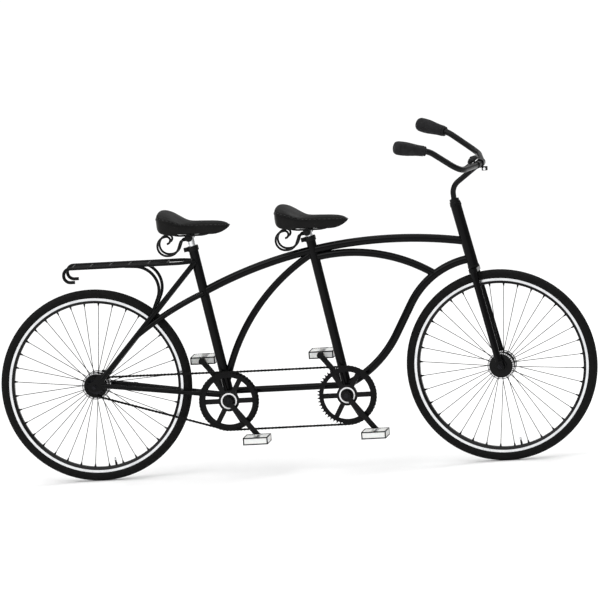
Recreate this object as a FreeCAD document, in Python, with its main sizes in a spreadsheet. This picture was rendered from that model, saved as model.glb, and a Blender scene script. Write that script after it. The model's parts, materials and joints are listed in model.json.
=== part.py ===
"""Tandem bicycle with a curved cruiser frame, 28-inch wheels and two in-phase cranksets.

Frame of the model: +X points forward, +Y to the rider's left, +Z up. The origin lies on the
ground, midway between the two wheels. The chains run on the right side, so towards -Y.
"""
import FreeCAD, Part
import math
import os
import re

import Sketcher
from FreeCAD import Placement, Rotation, Vector

# Driving dimensions, in millimetres and degrees, with no unit so that they stay plain numbers.
SIZES = {
    # wheels: 28 inch, 622 mm bead seat, 37 mm tyre
    "hub_offset": 740, "wheel_radius": 348, "tyre_width": 37, "tyre_wall": 3,
    "rim_outer_radius": 317.4, "rim_floor_radius": 310.9, "rim_band_radius": 306,
    "rim_inner_radius": 298, "rim_width": 30, "rim_wall": 2.2,
    "flange_radius": 49, "flange_thickness": 3, "flange_gap": 57, "spoke_circle_radius": 44.5,
    "spoke_radius": 1.3, "spoke_head_gap": 1.5, "nipple_radius": 2.5, "hub_barrel_radius": 20, "coaster_barrel_radius": 27,
    "axle_radius": 4.75, "axle_tip_radius": 4.4, "running_gap": 0.05, "bearing_radius": 14,
    # transmission: half-inch pitch, 52-tooth rings, 16-tooth sprocket
    "chain_pitch": 12.7, "ring_thickness": 2.6, "roller_radius": 3.9, "ring_bore_radius": 86,
    "drive_line": 44, "timing_line": 53.5, "spindle_height": 272, "spindle_radius": 8.5,
    "spindle_square": 12, "crank_length": 170, "crank_inner_face": 60, "crank_thickness": 14,
    "crank_width": 19, "crank_angle": -52, "shell_radius": 22, "shell_bore": 17.5,
    "shell_width": 68, "spider_radius": 38, "bolt_circle_radius": 92,
    # frame tubes
    "seat_lean": 10.2, "seat_tube_diameter": 34.8, "rear_seat_tube_top": 834,
    "front_seat_tube_top": 849, "top_tube_diameter": 30, "arch_tube_diameter": 28,
    "brace_diameter": 25.4, "keel_diameter": 24, "stay_diameter": 19.5, "chain_stay_diameter": 16,
    "tube_wall": 2, "stay_spread": 61, "dropout_thickness": 6,
    # steering
    "head_lean": 12.3, "head_tube_radius": 20, "head_tube_bore": 17.2, "head_tube_start": 376,
    "head_tube_end": 600, "steerer_radius": 14.3, "steerer_wall": 3.1, "crown_start": 353,
    "crown_height": 14, "fork_leg_diameter": 25, "fork_gap": 101, "bar_diameter": 22.2,
    "neck_diameter": 20, "grip_radius": 23,
    # saddles, rack, pedals, bell
    "post_radius": 12.7, "post_wall": 2.2, "saddle_height": 884, "rack_height": 781,
    "rack_rail_diameter": 12, "rack_half_width": 50, "pedal_axle_radius": 4.5,
    "pedal_width": 100, "pedal_length": 90, "pedal_thickness": 27, "bell_radius": 24,
}

doc = FreeCAD.newDocument("Tandem")
sheet = doc.addObject("Spreadsheet::Sheet", "Sizes")
NODES = []


def fill_sheet():
    for row, (alias, number) in enumerate(SIZES.items(), start=1):
        sheet.set("A%d" % row, alias)
        sheet.set("B%d" % row, str(number))
        sheet.setAlias("B%d" % row, alias)
    doc.recompute()


def bound(expression):
    """The expression with each alias written as a reference to the sheet."""
    return re.sub(r"[a-z_]+", lambda m: "Sizes." + m.group() if m.group() in SIZES else m.group(),
                  str(expression))


def value(expression):
    """The number that an expression of sheet aliases gives now."""
    return float(sheet.evalExpression(bound(expression)))


def bind(thing, **expressions):
    for name, expression in expressions.items():
        thing.setExpression(name, bound(expression))


def make(kind, label):
    thing = doc.addObject(kind, "Shape_" + re.sub("[^A-Za-z0-9]", "_", label))
    thing.Label = label + "_shape"
    return thing


def node(label, thing):
    """Marks an object as a finished sub-part: its label becomes the file's name."""
    thing.Label = label
    NODES.append(thing)
    return thing


# ---------------------------------------------------------------- directions and placements
def upright(origin):
    return Placement(origin, Rotation())


def across(origin):
    """Local z runs to the bicycle's right (-Y) and local y runs up."""
    return Placement(origin, Rotation(Vector(1, 0, 0), 90))


def leaning(origin, lean):
    """Local z runs up and back, leaning by so many degrees."""
    return Placement(origin, Rotation(Vector(0, 1, 0), -lean))


def along(start, direction):
    return Placement(start, Rotation(Vector(0, 0, 1), direction))


def up_from(origin, lean, distance):
    angle = math.radians(lean)
    return origin + Vector(-math.sin(angle), 0, math.cos(angle)) * distance


# ---------------------------------------------------------------- solids
def pin(label, radius, start, end):
    """A round bar between two points."""
    bar = make("Part::Cylinder", label)
    bind(bar, Radius=radius)
    bar.Height = (end - start).Length
    bar.Placement = along(start, end - start)
    return bar


def disc(label, radius, low, high, place):
    """A cylinder on a placement's axis from one height to another; all three are expressions."""
    cylinder = make("Part::Cylinder", label)
    bind(cylinder, Radius=radius, Height="%s - (%s)" % (high, low))
    cylinder.Placement = place.multiply(upright(Vector(0, 0, value(low))))
    return cylinder


def block(label, dimensions, corner, place):
    """A box: its three side lengths are expressions and its corner a local point."""
    box = make("Part::Box", label)
    bind(box, Length=dimensions[0], Width=dimensions[1], Height=dimensions[2])
    box.Placement = place.multiply(upright(corner))
    return box


def cut(label, base, *tools):
    result = base
    for tool in tools:
        cutter = make("Part::Cut", label)
        cutter.Base = result
        cutter.Tool = tool
        result = cutter
    return result


def fuse(label, *shapes):
    fusion = make("Part::MultiFuse", label)
    fusion.Shapes = list(shapes)
    return fusion


def group(label, *shapes):
    compound = make("Part::Compound", label)
    compound.Links = list(shapes)
    return compound


def outline_sketch(body, plane_role, outline):
    """A closed polygon whose corners are pairs of sheet expressions."""
    sketch = body.newObject("Sketcher::SketchObject", "Outline")
    plane = next(f for f in body.Origin.OriginFeatures if f.Role == plane_role)
    sketch.AttachmentSupport = [(plane, "")]
    sketch.MapMode = "FlatFace"
    corners = [Vector(value(a), value(b), 0) for a, b in outline]
    count = len(corners)
    for i in range(count):
        sketch.addGeometry(Part.LineSegment(corners[i], corners[(i + 1) % count]), False)
    for i in range(count):
        sketch.addConstraint(Sketcher.Constraint("Coincident", i, 2, (i + 1) % count, 1))
    for i, pair in enumerate(outline):
        for kind, axis, expression in zip(("DistanceX", "DistanceY"), (-2, -1), pair):
            if value(expression) == 0:
                sketch.addConstraint(Sketcher.Constraint("PointOnObject", i, 1, axis))
                continue
            rule = Sketcher.Constraint(kind, -1, 1, i, 1, value(expression))
            number = sketch.addConstraint(rule)
            sketch.setExpression("Constraints[%d]" % number, bound(expression))
    return sketch


def turned(label, outline, place):
    """A body of revolution about the placement's z axis; outline corners are (radius, height)."""
    body = make("PartDesign::Body", label)
    turn = body.newObject("PartDesign::Revolution", "Turn")
    sketch = outline_sketch(body, "XZ_Plane", outline)
    turn.Profile = sketch
    turn.ReferenceAxis = (sketch, ["V_Axis"])
    turn.Angle = 360
    sketch.Visibility = False
    body.Tip = turn
    body.Placement = place
    return body


def plate(label, outline, thickness, place):
    """A flat plate with a polygon outline in the placement's xy plane, thickening along z."""
    body = make("PartDesign::Body", label)
    sketch = outline_sketch(body, "XY_Plane", outline)
    pad = body.newObject("PartDesign::Pad", "Thickness")
    pad.Profile = sketch
    pad.setExpression("Length", bound(thickness))
    body.Placement = place
    return body


# ---------------------------------------------------------------- paths and tubes
def rounded(points, radii):
    """Straight runs joined by tangent arcs, one radius for each inner corner."""
    edges = []
    last = points[0]
    for i, radius in enumerate(radii, start=1):
        before = (points[i - 1] - points[i]).normalize()
        after = (points[i + 1] - points[i]).normalize()
        half_turn = (math.pi - before.getAngle(after)) / 2
        reach = radius * math.tan(half_turn)
        start = points[i] + before * reach
        end = points[i] + after * reach
        bisector = (before + after).normalize()
        middle = points[i] + bisector * (radius / math.cos(half_turn) - radius)
        if (start - last).Length > 0.01:
            edges.append(Part.LineSegment(last, start).toShape())
        edges.append(Part.Arc(start, middle, end).toShape())
        last = end
    if (points[-1] - last).Length > 0.01:
        edges.append(Part.LineSegment(last, points[-1]).toShape())
    return Part.Wire(edges)


def bowed(start, end, rise):
    """One arc between two points whose middle stands off the chord by rise, upwards."""
    chord = (end - start).normalize()
    outward = Vector(0, 0, 1) - chord * chord.z
    middle = (start + end) * 0.5 + outward.normalize() * rise
    return Part.Wire([Part.Arc(start, middle, end).toShape()])


def straight(start, end):
    return Part.Wire([Part.LineSegment(start, end).toShape()])


def swept(label, wire, radius):
    """A round bar of the given radius expression along a wire."""
    path = make("Part::Feature", label)
    path.Shape = wire
    profile = make("Part::Circle", label)
    bind(profile, Radius=radius)
    first = wire.Edges[0]
    start = wire.OrderedVertexes[0].Point
    parameter = first.getParameterByLength(0)
    tangent = first.tangentAt(parameter)
    profile.Placement = along(start, tangent)
    sweep = make("Part::Sweep", label)
    sweep.Sections = [profile]
    sweep.Spine = (path, ["Edge%d" % (i + 1) for i in range(len(wire.Edges))])
    sweep.Solid = True
    sweep.Frenet = False
    return sweep


def tube(label, wire, diameter, wall, *neighbours):
    """A hollow tube mitred against its neighbours. Returns the finished tube and its solid core."""
    outer = swept(label, wire, "%s / 2" % diameter)
    inner = swept(label, wire, "%s / 2 - %s" % (diameter, wall))
    return cut(label, outer, inner, *neighbours), outer


def pattern(label, shapes):
    """Copies made in code, as one compound."""
    feature = make("Part::Feature", label)
    feature.Shape = Part.makeCompound(shapes)
    return feature


def copies_around(label, master, centre, axis, count, first_angle=0):
    doc.recompute()
    shapes = []
    for i in range(count):
        shape = master.Shape.copy()
        shape.rotate(centre, axis, first_angle + i * 360 / count)
        shapes.append(shape)
    return pattern(label, shapes)


# ---------------------------------------------------------------- key points, from the sheet
fill_sheet()
HUB_Z = value("wheel_radius")
REAR_HUB = Vector(-value("hub_offset"), 0, HUB_Z)
FRONT_HUB = Vector(value("hub_offset"), 0, HUB_Z)
PITCH = value("chain_pitch")
RING_TEETH = 52
SPROCKET_TEETH = 16
TIMING_RUN = 34
DRIVE_LINKS = 112
RIGHT = Vector(0, -1, 0)


def pitch_radius(teeth):
    return PITCH / (2 * math.sin(math.pi / teeth))


def wrap_and_run(distance):
    """Angle by which the drive chain's runs splay, and the length of one run."""
    splay = math.asin((pitch_radius(RING_TEETH) - pitch_radius(SPROCKET_TEETH)) / distance)
    return splay, distance * math.cos(splay)


def drive_distance():
    """Distance from the rear spindle to the rear axle that a chain of whole links needs."""
    distance = 490.0
    for _ in range(20):
        splay, run = wrap_and_run(distance)
        ring = RING_TEETH * (0.5 + splay / math.pi)
        sprocket = SPROCKET_TEETH * (0.5 - splay / math.pi)
        missing = DRIVE_LINKS - ring - sprocket - 2 * run / PITCH
        distance += missing * PITCH / 2
    return distance


DRIVE_DISTANCE = drive_distance()
SPINDLE_DROP = HUB_Z - value("spindle_height")
REAR_BB = REAR_HUB + Vector(math.sqrt(DRIVE_DISTANCE ** 2 - SPINDLE_DROP ** 2), 0, -SPINDLE_DROP)
FRONT_BB = REAR_BB + Vector(TIMING_RUN * PITCH, 0, 0)
SEAT_LEAN = value("seat_lean")
HEAD_LEAN = value("head_lean")


def on_seat_tube(bracket, height):
    """The point of a seat tube's axis at a height above the ground."""
    return up_from(bracket, SEAT_LEAN, (height - bracket.z) / math.cos(math.radians(SEAT_LEAN)))


def on_head_axis(distance):
    """The point of the steering axis at a distance from the front axle."""
    return up_from(FRONT_HUB, HEAD_LEAN, distance)


# ---------------------------------------------------------------- frame tubes
def build_frame():
    head_place = leaning(FRONT_HUB, HEAD_LEAN)
    head_core = disc("head_core", "head_tube_radius", "head_tube_start", "head_tube_end",
                     head_place)
    head_bore = disc("head_bore", "head_tube_bore", "head_tube_start", "head_tube_end",
                     head_place)
    node("head_tube", cut("head_tube", head_core, head_bore))

    shells = []
    cups = []
    for bracket in (REAR_BB, FRONT_BB):
        place = across(bracket)
        shells.append(disc("shell", "shell_radius", "-shell_width / 2", "shell_width / 2", place))
        for way in (-1, 1):
            cup_place = place.multiply(Placement(Vector(), Rotation(Vector(1, 0, 0), 90 - way * 90)))
            cups.append(turned("bracket_cup", [
                ("spindle_radius + running_gap", "shell_width / 2 - 14"),
                ("shell_bore", "shell_width / 2 - 14"), ("shell_bore", "shell_width / 2"),
                ("shell_radius - 1.5", "shell_width / 2"),
                ("shell_radius - 1.5", "shell_width / 2 + 2.5"),
                ("spindle_radius + running_gap", "shell_width / 2 + 2.5")], cup_place))
    hollow_shells = []
    for bracket, shell in zip((REAR_BB, FRONT_BB), shells):
        bore = disc("shell_hollow", "shell_bore", "-shell_width / 2", "shell_width / 2",
                    across(bracket))
        hollow_shells.append(cut("bottom_bracket_shell", shell, bore))
    node("bottom_bracket_shells", group("bottom_bracket_shells", *hollow_shells))
    node("bottom_bracket_cups", group("bottom_bracket_cups", *cups))

    cores = {}
    for name, bracket, shell in (("rear", REAR_BB, shells[0]), ("front", FRONT_BB, shells[1])):
        top = value("%s_seat_tube_top" % name)
        wire = straight(bracket, on_seat_tube(bracket, top))
        outer = swept(name + "_seat_core", wire, "seat_tube_diameter / 2")
        inner = swept(name + "_seat_bore", wire, "seat_tube_diameter / 2 - tube_wall")
        sleeve_wire = straight(on_seat_tube(bracket, top - 170), on_seat_tube(bracket, top))
        sleeve = swept(name + "_sleeve", sleeve_wire, "seat_tube_diameter / 2 - tube_wall / 2")
        post_bore = swept(name + "_post_bore", sleeve_wire, "post_radius + running_gap")
        lined = fuse(name + "_lined", cut("hollow", outer, inner), sleeve)
        node(name + "_seat_tube", cut(name + "_seat_tube", lined, post_bore, shell))
        cores[name] = outer
    rear_core = cores["rear"]
    front_core = cores["front"]

    head_joint = on_head_axis(467)
    front_joint = on_seat_tube(FRONT_BB, 800)
    rear_joint = on_seat_tube(REAR_BB, 667)
    top_front, top_front_core = tube(
        "front_top_tube", bowed(front_joint, head_joint, 24.6), "top_tube_diameter", "tube_wall",
        head_core, front_core)
    node("front_top_tube", top_front)
    top_rear, top_rear_core = tube(
        "rear_top_tube", bowed(rear_joint, front_joint, 14.5), "top_tube_diameter", "tube_wall",
        front_core, rear_core)
    node("rear_top_tube", top_rear)

    down_wire = rounded([on_head_axis(402), Vector(496, 0, 714), Vector(299, 0, 363),
                         on_seat_tube(FRONT_BB, 303)], [305, 415])
    down, down_core = tube("down_tube", down_wire, "top_tube_diameter", "tube_wall",
                           head_core, front_core, shells[1])
    node("down_tube", down)
    arch_end = Vector(520, 0, 689)
    low_arch, _ = tube("lower_arch_tube", bowed(on_seat_tube(FRONT_BB, 772), arch_end, 44),
                       "arch_tube_diameter", "tube_wall", front_core, top_front_core, down_core)
    node("lower_arch_tube", low_arch)
    brace, brace_core = tube(
        "brace_tube", bowed(on_seat_tube(REAR_BB, 330), on_seat_tube(FRONT_BB, 790), 59),
        "brace_diameter", "tube_wall", front_core, rear_core, top_rear_core)
    node("brace_tube", brace)
    keel_height = value("spindle_height + 31")
    keel, _ = tube("keel_tube", straight(on_seat_tube(REAR_BB, keel_height),
                                         on_seat_tube(FRONT_BB, keel_height)),
                   "keel_diameter", "tube_wall", front_core, rear_core, down_core, *shells)
    node("keel_tube", cut("keel_tube", keel, brace_core))
    build_stays(rear_core, shells[0])
    build_collars()


DROPOUT_OUTLINE = [("-15", "-15"), ("4", "-17"), ("38", "-9"), ("42", "8"), ("30", "44"),
                   ("14", "46"), ("-2", "22"), ("-15", "16"), ("-28", "22"), ("-34", "12"),
                   ("-28", "0")]


def seat_stay_ends(sign):
    """Top and bottom middle points of the seat stay on one side."""
    top = on_seat_tube(REAR_BB, 781)
    return (Vector(top.x, 19.5 * sign, top.z),
            Vector(REAR_HUB.x + 28, value("stay_spread") * sign, HUB_Z + 25))


def build_stays(rear_core, shell):
    """Twin stays at the back, slotted over the two dropout plates."""
    spread = value("stay_spread")
    dropouts = []
    for sign in (-1, 1):
        near_face = spread * sign + value("dropout_thickness") / 2
        plate_shape = plate("dropout", DROPOUT_OUTLINE, "dropout_thickness",
                            across(Vector(REAR_HUB.x, near_face, HUB_Z)))
        place = across(REAR_HUB)
        axle_hole = disc("axle_hole", "axle_radius", "-stay_spread - 9", "stay_spread + 9", place)
        eyelet = disc("eyelet", "2.1", "-stay_spread - 9", "stay_spread + 9",
                      place.multiply(upright(Vector(-24, 12, 0))))
        dropouts.append(cut("dropout", plate_shape, axle_hole, eyelet))
    node("rear_dropouts", group("rear_dropouts", *dropouts))

    chain_stays = []
    seat_stays = []
    seat_cores = []
    arch_stays = []
    for sign, dropout in zip((-1, 1), dropouts):
        chain_wire = straight(Vector(REAR_BB.x - 6, 20 * sign, 287),
                              Vector(REAR_HUB.x + 26, spread * sign, 351))
        stay, _ = tube("chain_stay", chain_wire, "chain_stay_diameter", "tube_wall - 0.5",
                       shell, rear_core, dropout)
        chain_stays.append(stay)
        seat_top, seat_end = seat_stay_ends(sign)
        stay, seat_core = tube("seat_stay", straight(seat_top, seat_end), "stay_diameter",
                               "tube_wall - 0.5", rear_core, dropout)
        seat_stays.append(stay)
        seat_cores.append(seat_core)
        junction = seat_top + (seat_end - seat_top) * 0.64
        low = on_seat_tube(REAR_BB, 664)
        arch_wire = bowed(junction, Vector(low.x, 17 * sign, low.z), 9)
        stay, _ = tube("arch_stay", arch_wire, "stay_diameter", "tube_wall - 0.5",
                       rear_core, seat_core)
        arch_stays.append(stay)
    node("chain_stays", group("chain_stays", *chain_stays))
    node("seat_stays", group("seat_stays", *seat_stays))
    node("arch_stays", group("arch_stays", *arch_stays))
    build_rack(rear_core, seat_cores)


def build_rack(seat_core, stay_cores):
    """A flat carrier over the rear wheel that ends in two hooked tails."""
    height = value("rack_height")
    half = value("rack_half_width")
    rails = []
    struts = []
    for sign in (-1, 1):
        tail = half * sign
        top, end = seat_stay_ends(sign)
        meeting = top + (end - top) * ((top.z - height) / (top.z - end.z))
        wire = rounded([meeting, Vector(-400, tail, height),
                        Vector(-826, tail, height), Vector(-826, tail, 731),
                        Vector(-786, tail, 731)], [50, 24, 24])
        rails.append(swept("rail", wire, "rack_rail_diameter / 2"))
    rails = [cut("rack_rail", rail, stay, seat_core) for rail, stay in zip(rails, stay_cores)]
    bars = []
    for x in (-450, -520, -590, -660, -730, -795):
        bar = pin("rack_bar", "rack_rail_diameter / 2 - 2", Vector(x, half, height),
                  Vector(x, -half, height))
        bars.append(cut("rack_bar", bar, *rails))
    lane = pin("rack_lane", "rack_rail_diameter / 2 - 2", Vector(-795, 0, height),
               Vector(-450, 0, height))
    bars.append(cut("rack_lane", lane, *bars))
    for sign, rail, stay in zip((-1, 1), rails, stay_cores):
        wire = rounded([Vector(-602, half * sign, height - 1), Vector(-442, (half - 3) * sign, 770),
                        Vector(-523, 39 * sign, 584)], [86])
        strut = swept("strut", wire, "rack_rail_diameter / 2 - 0.3")
        struts.append(cut("rack_strut", strut, rail, stay, *bars))
    node("rack_platform", group("rack_platform", *rails, *bars))
    node("rack_struts", group("rack_struts", *struts))


def build_collars():
    """A clamp ring with its bolt at the top of each seat tube."""
    rings = []
    for name, bracket in (("rear", REAR_BB), ("front", FRONT_BB)):
        top = on_seat_tube(bracket, value("%s_seat_tube_top" % name))
        place = leaning(top, SEAT_LEAN)
        ring = disc("collar_ring", "seat_tube_diameter / 2 + 3.5", "-15", "2", place)
        ear = block("collar_ear", ("14", "16", "15"), Vector(-33, -8, -14), place)
        hole = disc("collar_hole", "seat_tube_diameter / 2", "-20", "5", place)
        lip = disc("collar_lip", "post_radius + 0.3", "0", "3", place)
        slit = block("collar_slit", ("18", "2", "20"), Vector(-36, -1, -17), place)
        bolt_place = place.multiply(across(Vector(-28, 0, -6.5)))
        bolt_hole = disc("collar_bolt_hole", "2.5", "-20", "20", bolt_place)
        body = cut("seat_collar", fuse("collar", ring, ear), hole, slit, bolt_hole)
        bolt = turned("collar_bolt", [("0", "-11"), ("2.5", "-11"), ("2.5", "8"), ("4.4", "8"),
                                      ("4.4", "12"), ("0", "12")], bolt_place)
        lip_cut = cut("collar_bolt", bolt, lip)
        rings.extend([body, lip_cut])
    node("seat_collars", group("seat_collars", *rings))


# ---------------------------------------------------------------- wheels
def build_wheel(name, hub, barrel, left_end, right_end):
    """Tyre, rim, spokes with nipples and hub, all turning about the hub's axle."""
    place = across(hub)
    minor = "tyre_width / 2"
    major = "wheel_radius - tyre_width / 2"
    carcass = make("Part::Torus", name + "_carcass")
    bind(carcass, Radius1=major, Radius2=minor)
    carcass.Placement = place
    air = make("Part::Torus", name + "_air")
    bind(air, Radius1=major, Radius2="%s - tyre_wall" % minor)
    air.Placement = place
    well = disc(name + "_well", "rim_outer_radius + 0.1", "-rim_width / 2 + rim_wall",
                "rim_width / 2 - rim_wall", place)
    flank = disc(name + "_flank", "rim_outer_radius", "-tyre_width", "tyre_width", place)
    bead_zone = cut(name + "_bead_zone", flank, well)
    floor = disc(name + "_floor", "rim_floor_radius", "-tyre_width", "tyre_width", place)
    gap = disc(name + "_gap", "rim_outer_radius + 1", "-6", "6", place)
    node(name + "_tyre", cut(name + "_tyre", carcass, air, bead_zone, floor, gap))

    outline = [("rim_outer_radius", "rim_width / 2"), ("rim_band_radius", "rim_width / 2"),
               ("rim_inner_radius", "rim_width / 2 - 6"), ("rim_inner_radius", "6 - rim_width / 2"),
               ("rim_band_radius", "-rim_width / 2"), ("rim_outer_radius", "-rim_width / 2"),
               ("rim_outer_radius", "rim_wall - rim_width / 2"),
               ("rim_floor_radius", "rim_wall - rim_width / 2"),
               ("rim_floor_radius", "rim_width / 2 - rim_wall"),
               ("rim_outer_radius", "rim_width / 2 - rim_wall")]
    hollow = [("rim_floor_radius - rim_wall", "rim_width / 2 - rim_wall"),
              ("rim_band_radius", "rim_width / 2 - rim_wall"),
              ("rim_inner_radius + rim_wall", "rim_width / 2 - 8"),
              ("rim_inner_radius + rim_wall", "8 - rim_width / 2"),
              ("rim_band_radius", "rim_wall - rim_width / 2"),
              ("rim_floor_radius - rim_wall", "rim_wall - rim_width / 2")]
    blank = turned(name + "_rim_blank", outline, place)
    chamber = turned(name + "_rim_chamber", hollow, place)
    master = pin(name + "_hole", "nipple_radius", hub + Vector(0, 0, value("rim_inner_radius - 5")),
                 hub + Vector(0, 0, value("rim_floor_radius + 5")))
    holes = copies_around(name + "_holes", master, hub, RIGHT, 36, 5)
    node(name + "_rim", cut(name + "_rim", blank, chamber, holes))

    spokes = []
    for way in (-1, 1):
        spokes.extend(spoke_set(name, hub, way))
    doc.recompute()
    node(name + "_spokes", pattern(name + "_spokes", [s.Shape for s in spokes]))

    edge = "flange_gap / 2"
    flange = "flange_gap / 2 + flange_thickness"
    shell = turned(name + "_hub_shell", [
        ("bearing_radius", "-(%s)" % left_end), ("bearing_radius + 7", "-(%s)" % left_end),
        ("bearing_radius + 7", "-(%s)" % flange), ("flange_radius", "-(%s)" % flange),
        ("flange_radius", "-%s" % edge), (barrel, "-%s + 4" % edge), (barrel, "%s - 4" % edge),
        ("flange_radius", edge), ("flange_radius", flange), ("bearing_radius + 7", flange),
        ("bearing_radius + 7", right_end), ("bearing_radius", right_end)], place)
    drill = pin(name + "_drill", "spoke_radius + 0.35",
                hub + Vector(0, 60, value("spoke_circle_radius")),
                hub + Vector(0, -60, value("spoke_circle_radius")))
    drills = copies_around(name + "_drills", drill, hub, RIGHT, 36, 5)
    bearings = []
    for low, high in (("-(%s)" % left_end, "-(%s) + 9" % left_end),
                      ("%s - 9" % right_end, right_end)):
        ring = disc(name + "_bearing", "bearing_radius", low, high, place)
        bore = disc(name + "_bearing_bore", "axle_radius + running_gap", low, high, place)
        bearings.append(cut(name + "_bearing", ring, bore))
    node(name + "_hub", group(name + "_hub", cut(name + "_hub_shell", shell, drills), *bearings))


def spoke_set(name, hub, way):
    """Eighteen radial spokes on one flange, each with its elbow through the flange."""
    face = value("flange_gap / 2 + flange_thickness + spoke_radius + 0.9") * way
    low = Vector(0, face, value("spoke_circle_radius"))
    high = Vector(0, 0, value("rim_inner_radius + rim_wall"))
    shank = pin(name + "_shank", "spoke_radius", hub + low, hub + high)
    head_start = Vector(0, value("flange_gap / 2 - spoke_head_gap") * way, low.z)
    head_end = head_start - Vector(0, value("spoke_radius") * way, 0)
    elbow = pin(name + "_elbow", "spoke_radius", hub + low, hub + head_end)
    head = pin(name + "_head", "spoke_radius + 0.8", hub + head_start, hub + head_end)
    nipple = pin(name + "_nipple", "nipple_radius",
                 hub + Vector(0, 0, value("rim_inner_radius - 9")),
                 hub + Vector(0, 0, value("rim_inner_radius + rim_wall + 2")))
    spoke = fuse(name + "_spoke", shank, elbow, head, nipple)
    first = 5 if way < 0 else 15
    return [copies_around(name + "_spokes_side", spoke, hub, RIGHT, 18, first)]


def axle_set(name, hub, reach, nut_face, parts):
    """A fixed axle with plain tips, its cone spacers and two flanged nuts."""
    place = across(hub)
    shoulder = "%s + 9.8" % nut_face
    rod = disc(name + "_axle_rod", "axle_radius", "-(%s)" % shoulder, shoulder, place)
    tips = disc(name + "_axle_tips", "axle_tip_radius", "-%s" % reach, reach, place)
    pieces = [fuse(name + "_axle_bar", rod, tips)] + parts
    for way in (-1, 1):
        nut_place = place.multiply(Placement(Vector(), Rotation(Vector(1, 0, 0), 90 - way * 90)))
        washer = disc(name + "_washer", "10", nut_face, nut_face + " + 1.6", nut_place)
        body = make("Part::Prism", name + "_nut")
        body.Polygon = 6
        body.Circumradius = 8.6
        body.Height = 8
        body.Placement = nut_place.multiply(upright(Vector(0, 0, value(nut_face) + 1.6)))
        for piece in (washer, body):
            bore = disc(name + "_nut_bore", "axle_radius", "0", reach + " + 5", nut_place)
            pieces.append(cut(name + "_nut", piece, bore))
    node(name + "_axle", group(name + "_axle", *pieces))


def sleeve(label, outer, low, high, place):
    ring = disc(label, outer, low, high, place)
    bore = disc(label + "_bore", "axle_radius", low, high, place)
    return cut(label, ring, bore)


def build_wheels():
    build_wheel("front", FRONT_HUB, "hub_barrel_radius", "40", "40")
    build_wheel("rear", REAR_HUB, "coaster_barrel_radius", "40", "34")
    front_place = across(FRONT_HUB)
    spacers = [sleeve("front_spacer", "8", low, high, front_place)
               for low, high in (("-fork_gap / 2", "-40.3"), ("40.3", "fork_gap / 2"))]
    axle_set("front", FRONT_HUB, "74", "fork_gap / 2 + dropout_thickness", spacers)
    rear_place = across(REAR_HUB)
    inner = "stay_spread - dropout_thickness / 2"
    spacers = [sleeve("rear_spacer", "9", "-(%s)" % inner, "-52", rear_place),
               sleeve("rear_cone", "8", "-46", "-40.3", rear_place),
               sleeve("rear_spacer", "9", "50.5", inner, rear_place)]
    axle_set("rear", REAR_HUB, "82", "stay_spread + dropout_thickness / 2", spacers)
    build_brake_arm()


def build_brake_arm():
    """The coaster brake's reaction arm, strapped to the left chain stay."""
    place = across(Vector(REAR_HUB.x, 52, HUB_Z))
    outline = [("-15", "-12"), ("0", "-16"), ("20", "-20"), ("148", "-38"), ("152", "-30"),
               ("150", "-22"), ("40", "-2"), ("14", "16"), ("-12", "14")]
    arm = plate("arm", outline, "3", place)
    hole = disc("arm_hole", "axle_radius", "-5", "8", place)
    dome = sleeve("arm_boss", "20", "-stay_spread + 12", "-46.4", across(REAR_HUB))
    stay_start = Vector(REAR_BB.x - 6, 20, 287)
    stay_end = Vector(REAR_HUB.x + 26, value("stay_spread"), 351)
    centre = stay_end + (stay_start - stay_end) * 0.24
    low = centre + (stay_start - stay_end).normalize() * 7
    high = centre - (stay_start - stay_end).normalize() * 7
    strap = pin("strap", "chain_stay_diameter / 2 + 1.5", low, high)
    strap_core = pin("strap_core", "chain_stay_diameter / 2", low, high)
    stay_room = pin("stay_room", "chain_stay_diameter / 2 + 0.4", stay_start, stay_end)
    node("brake_arm", group("brake_arm", cut("brake_arm", arm, hole, strap, stay_room),
                            cut("brake_strap", strap, strap_core), dome))


# ---------------------------------------------------------------- chains and toothed wheels
def toothed_wheel(label, teeth, bore_radius, line, centre, gap_angle):
    """A flat toothed wheel with a roller seat at the given angle; its middle lies on the line."""
    radius = pitch_radius(teeth)
    seat = value("roller_radius") + 0.15
    tip = radius + 3.3
    step = 2 * math.pi / teeth
    thickness = value("ring_thickness")
    low = -value(line) + thickness / 2

    def polar(r, angle):
        return Vector(centre.x + r * math.cos(angle), low, centre.z + r * math.sin(angle))

    edges = []
    first = None
    last = None
    for i in range(teeth):
        angle = math.radians(gap_angle) + i * step
        middle = polar(radius, angle)
        arc = []
        for turn in (-62, 0, 62):
            way = angle + math.pi + math.radians(turn)
            arc.append(middle + Vector(math.cos(way), 0, math.sin(way)) * seat)
        arc.reverse()
        before = polar(tip, angle - step * 0.40)
        after = polar(tip, angle + step * 0.40)
        if last is not None:
            edges.append(Part.LineSegment(last, before).toShape())
        else:
            first = before
        edges.append(Part.LineSegment(before, arc[0]).toShape())
        edges.append(Part.Arc(*arc).toShape())
        edges.append(Part.LineSegment(arc[2], after).toShape())
        last = after
    edges.append(Part.LineSegment(last, first).toShape())
    blank = Part.Face(Part.Wire(edges)).extrude(RIGHT * thickness)
    bore = Part.makeCylinder(bore_radius, thickness + 2, Vector(centre.x, low + 1, centre.z), RIGHT)
    wheel = make("Part::Feature", label)
    wheel.Shape = blank.cut(bore)
    return wheel


def stadium(length, radius, thickness, low):
    """A link plate lying along x with its pin holes at x = 0 and x = length."""
    ends = [Part.makeCylinder(radius, thickness, Vector(x, low, 0), Vector(0, 1, 0))
            for x in (0, length)]
    middle = Part.makeBox(length, thickness, radius * 1.5, Vector(0, low, -radius * 0.75))
    return ends[0].multiFuse([ends[1], middle]).removeSplitter()


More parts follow.
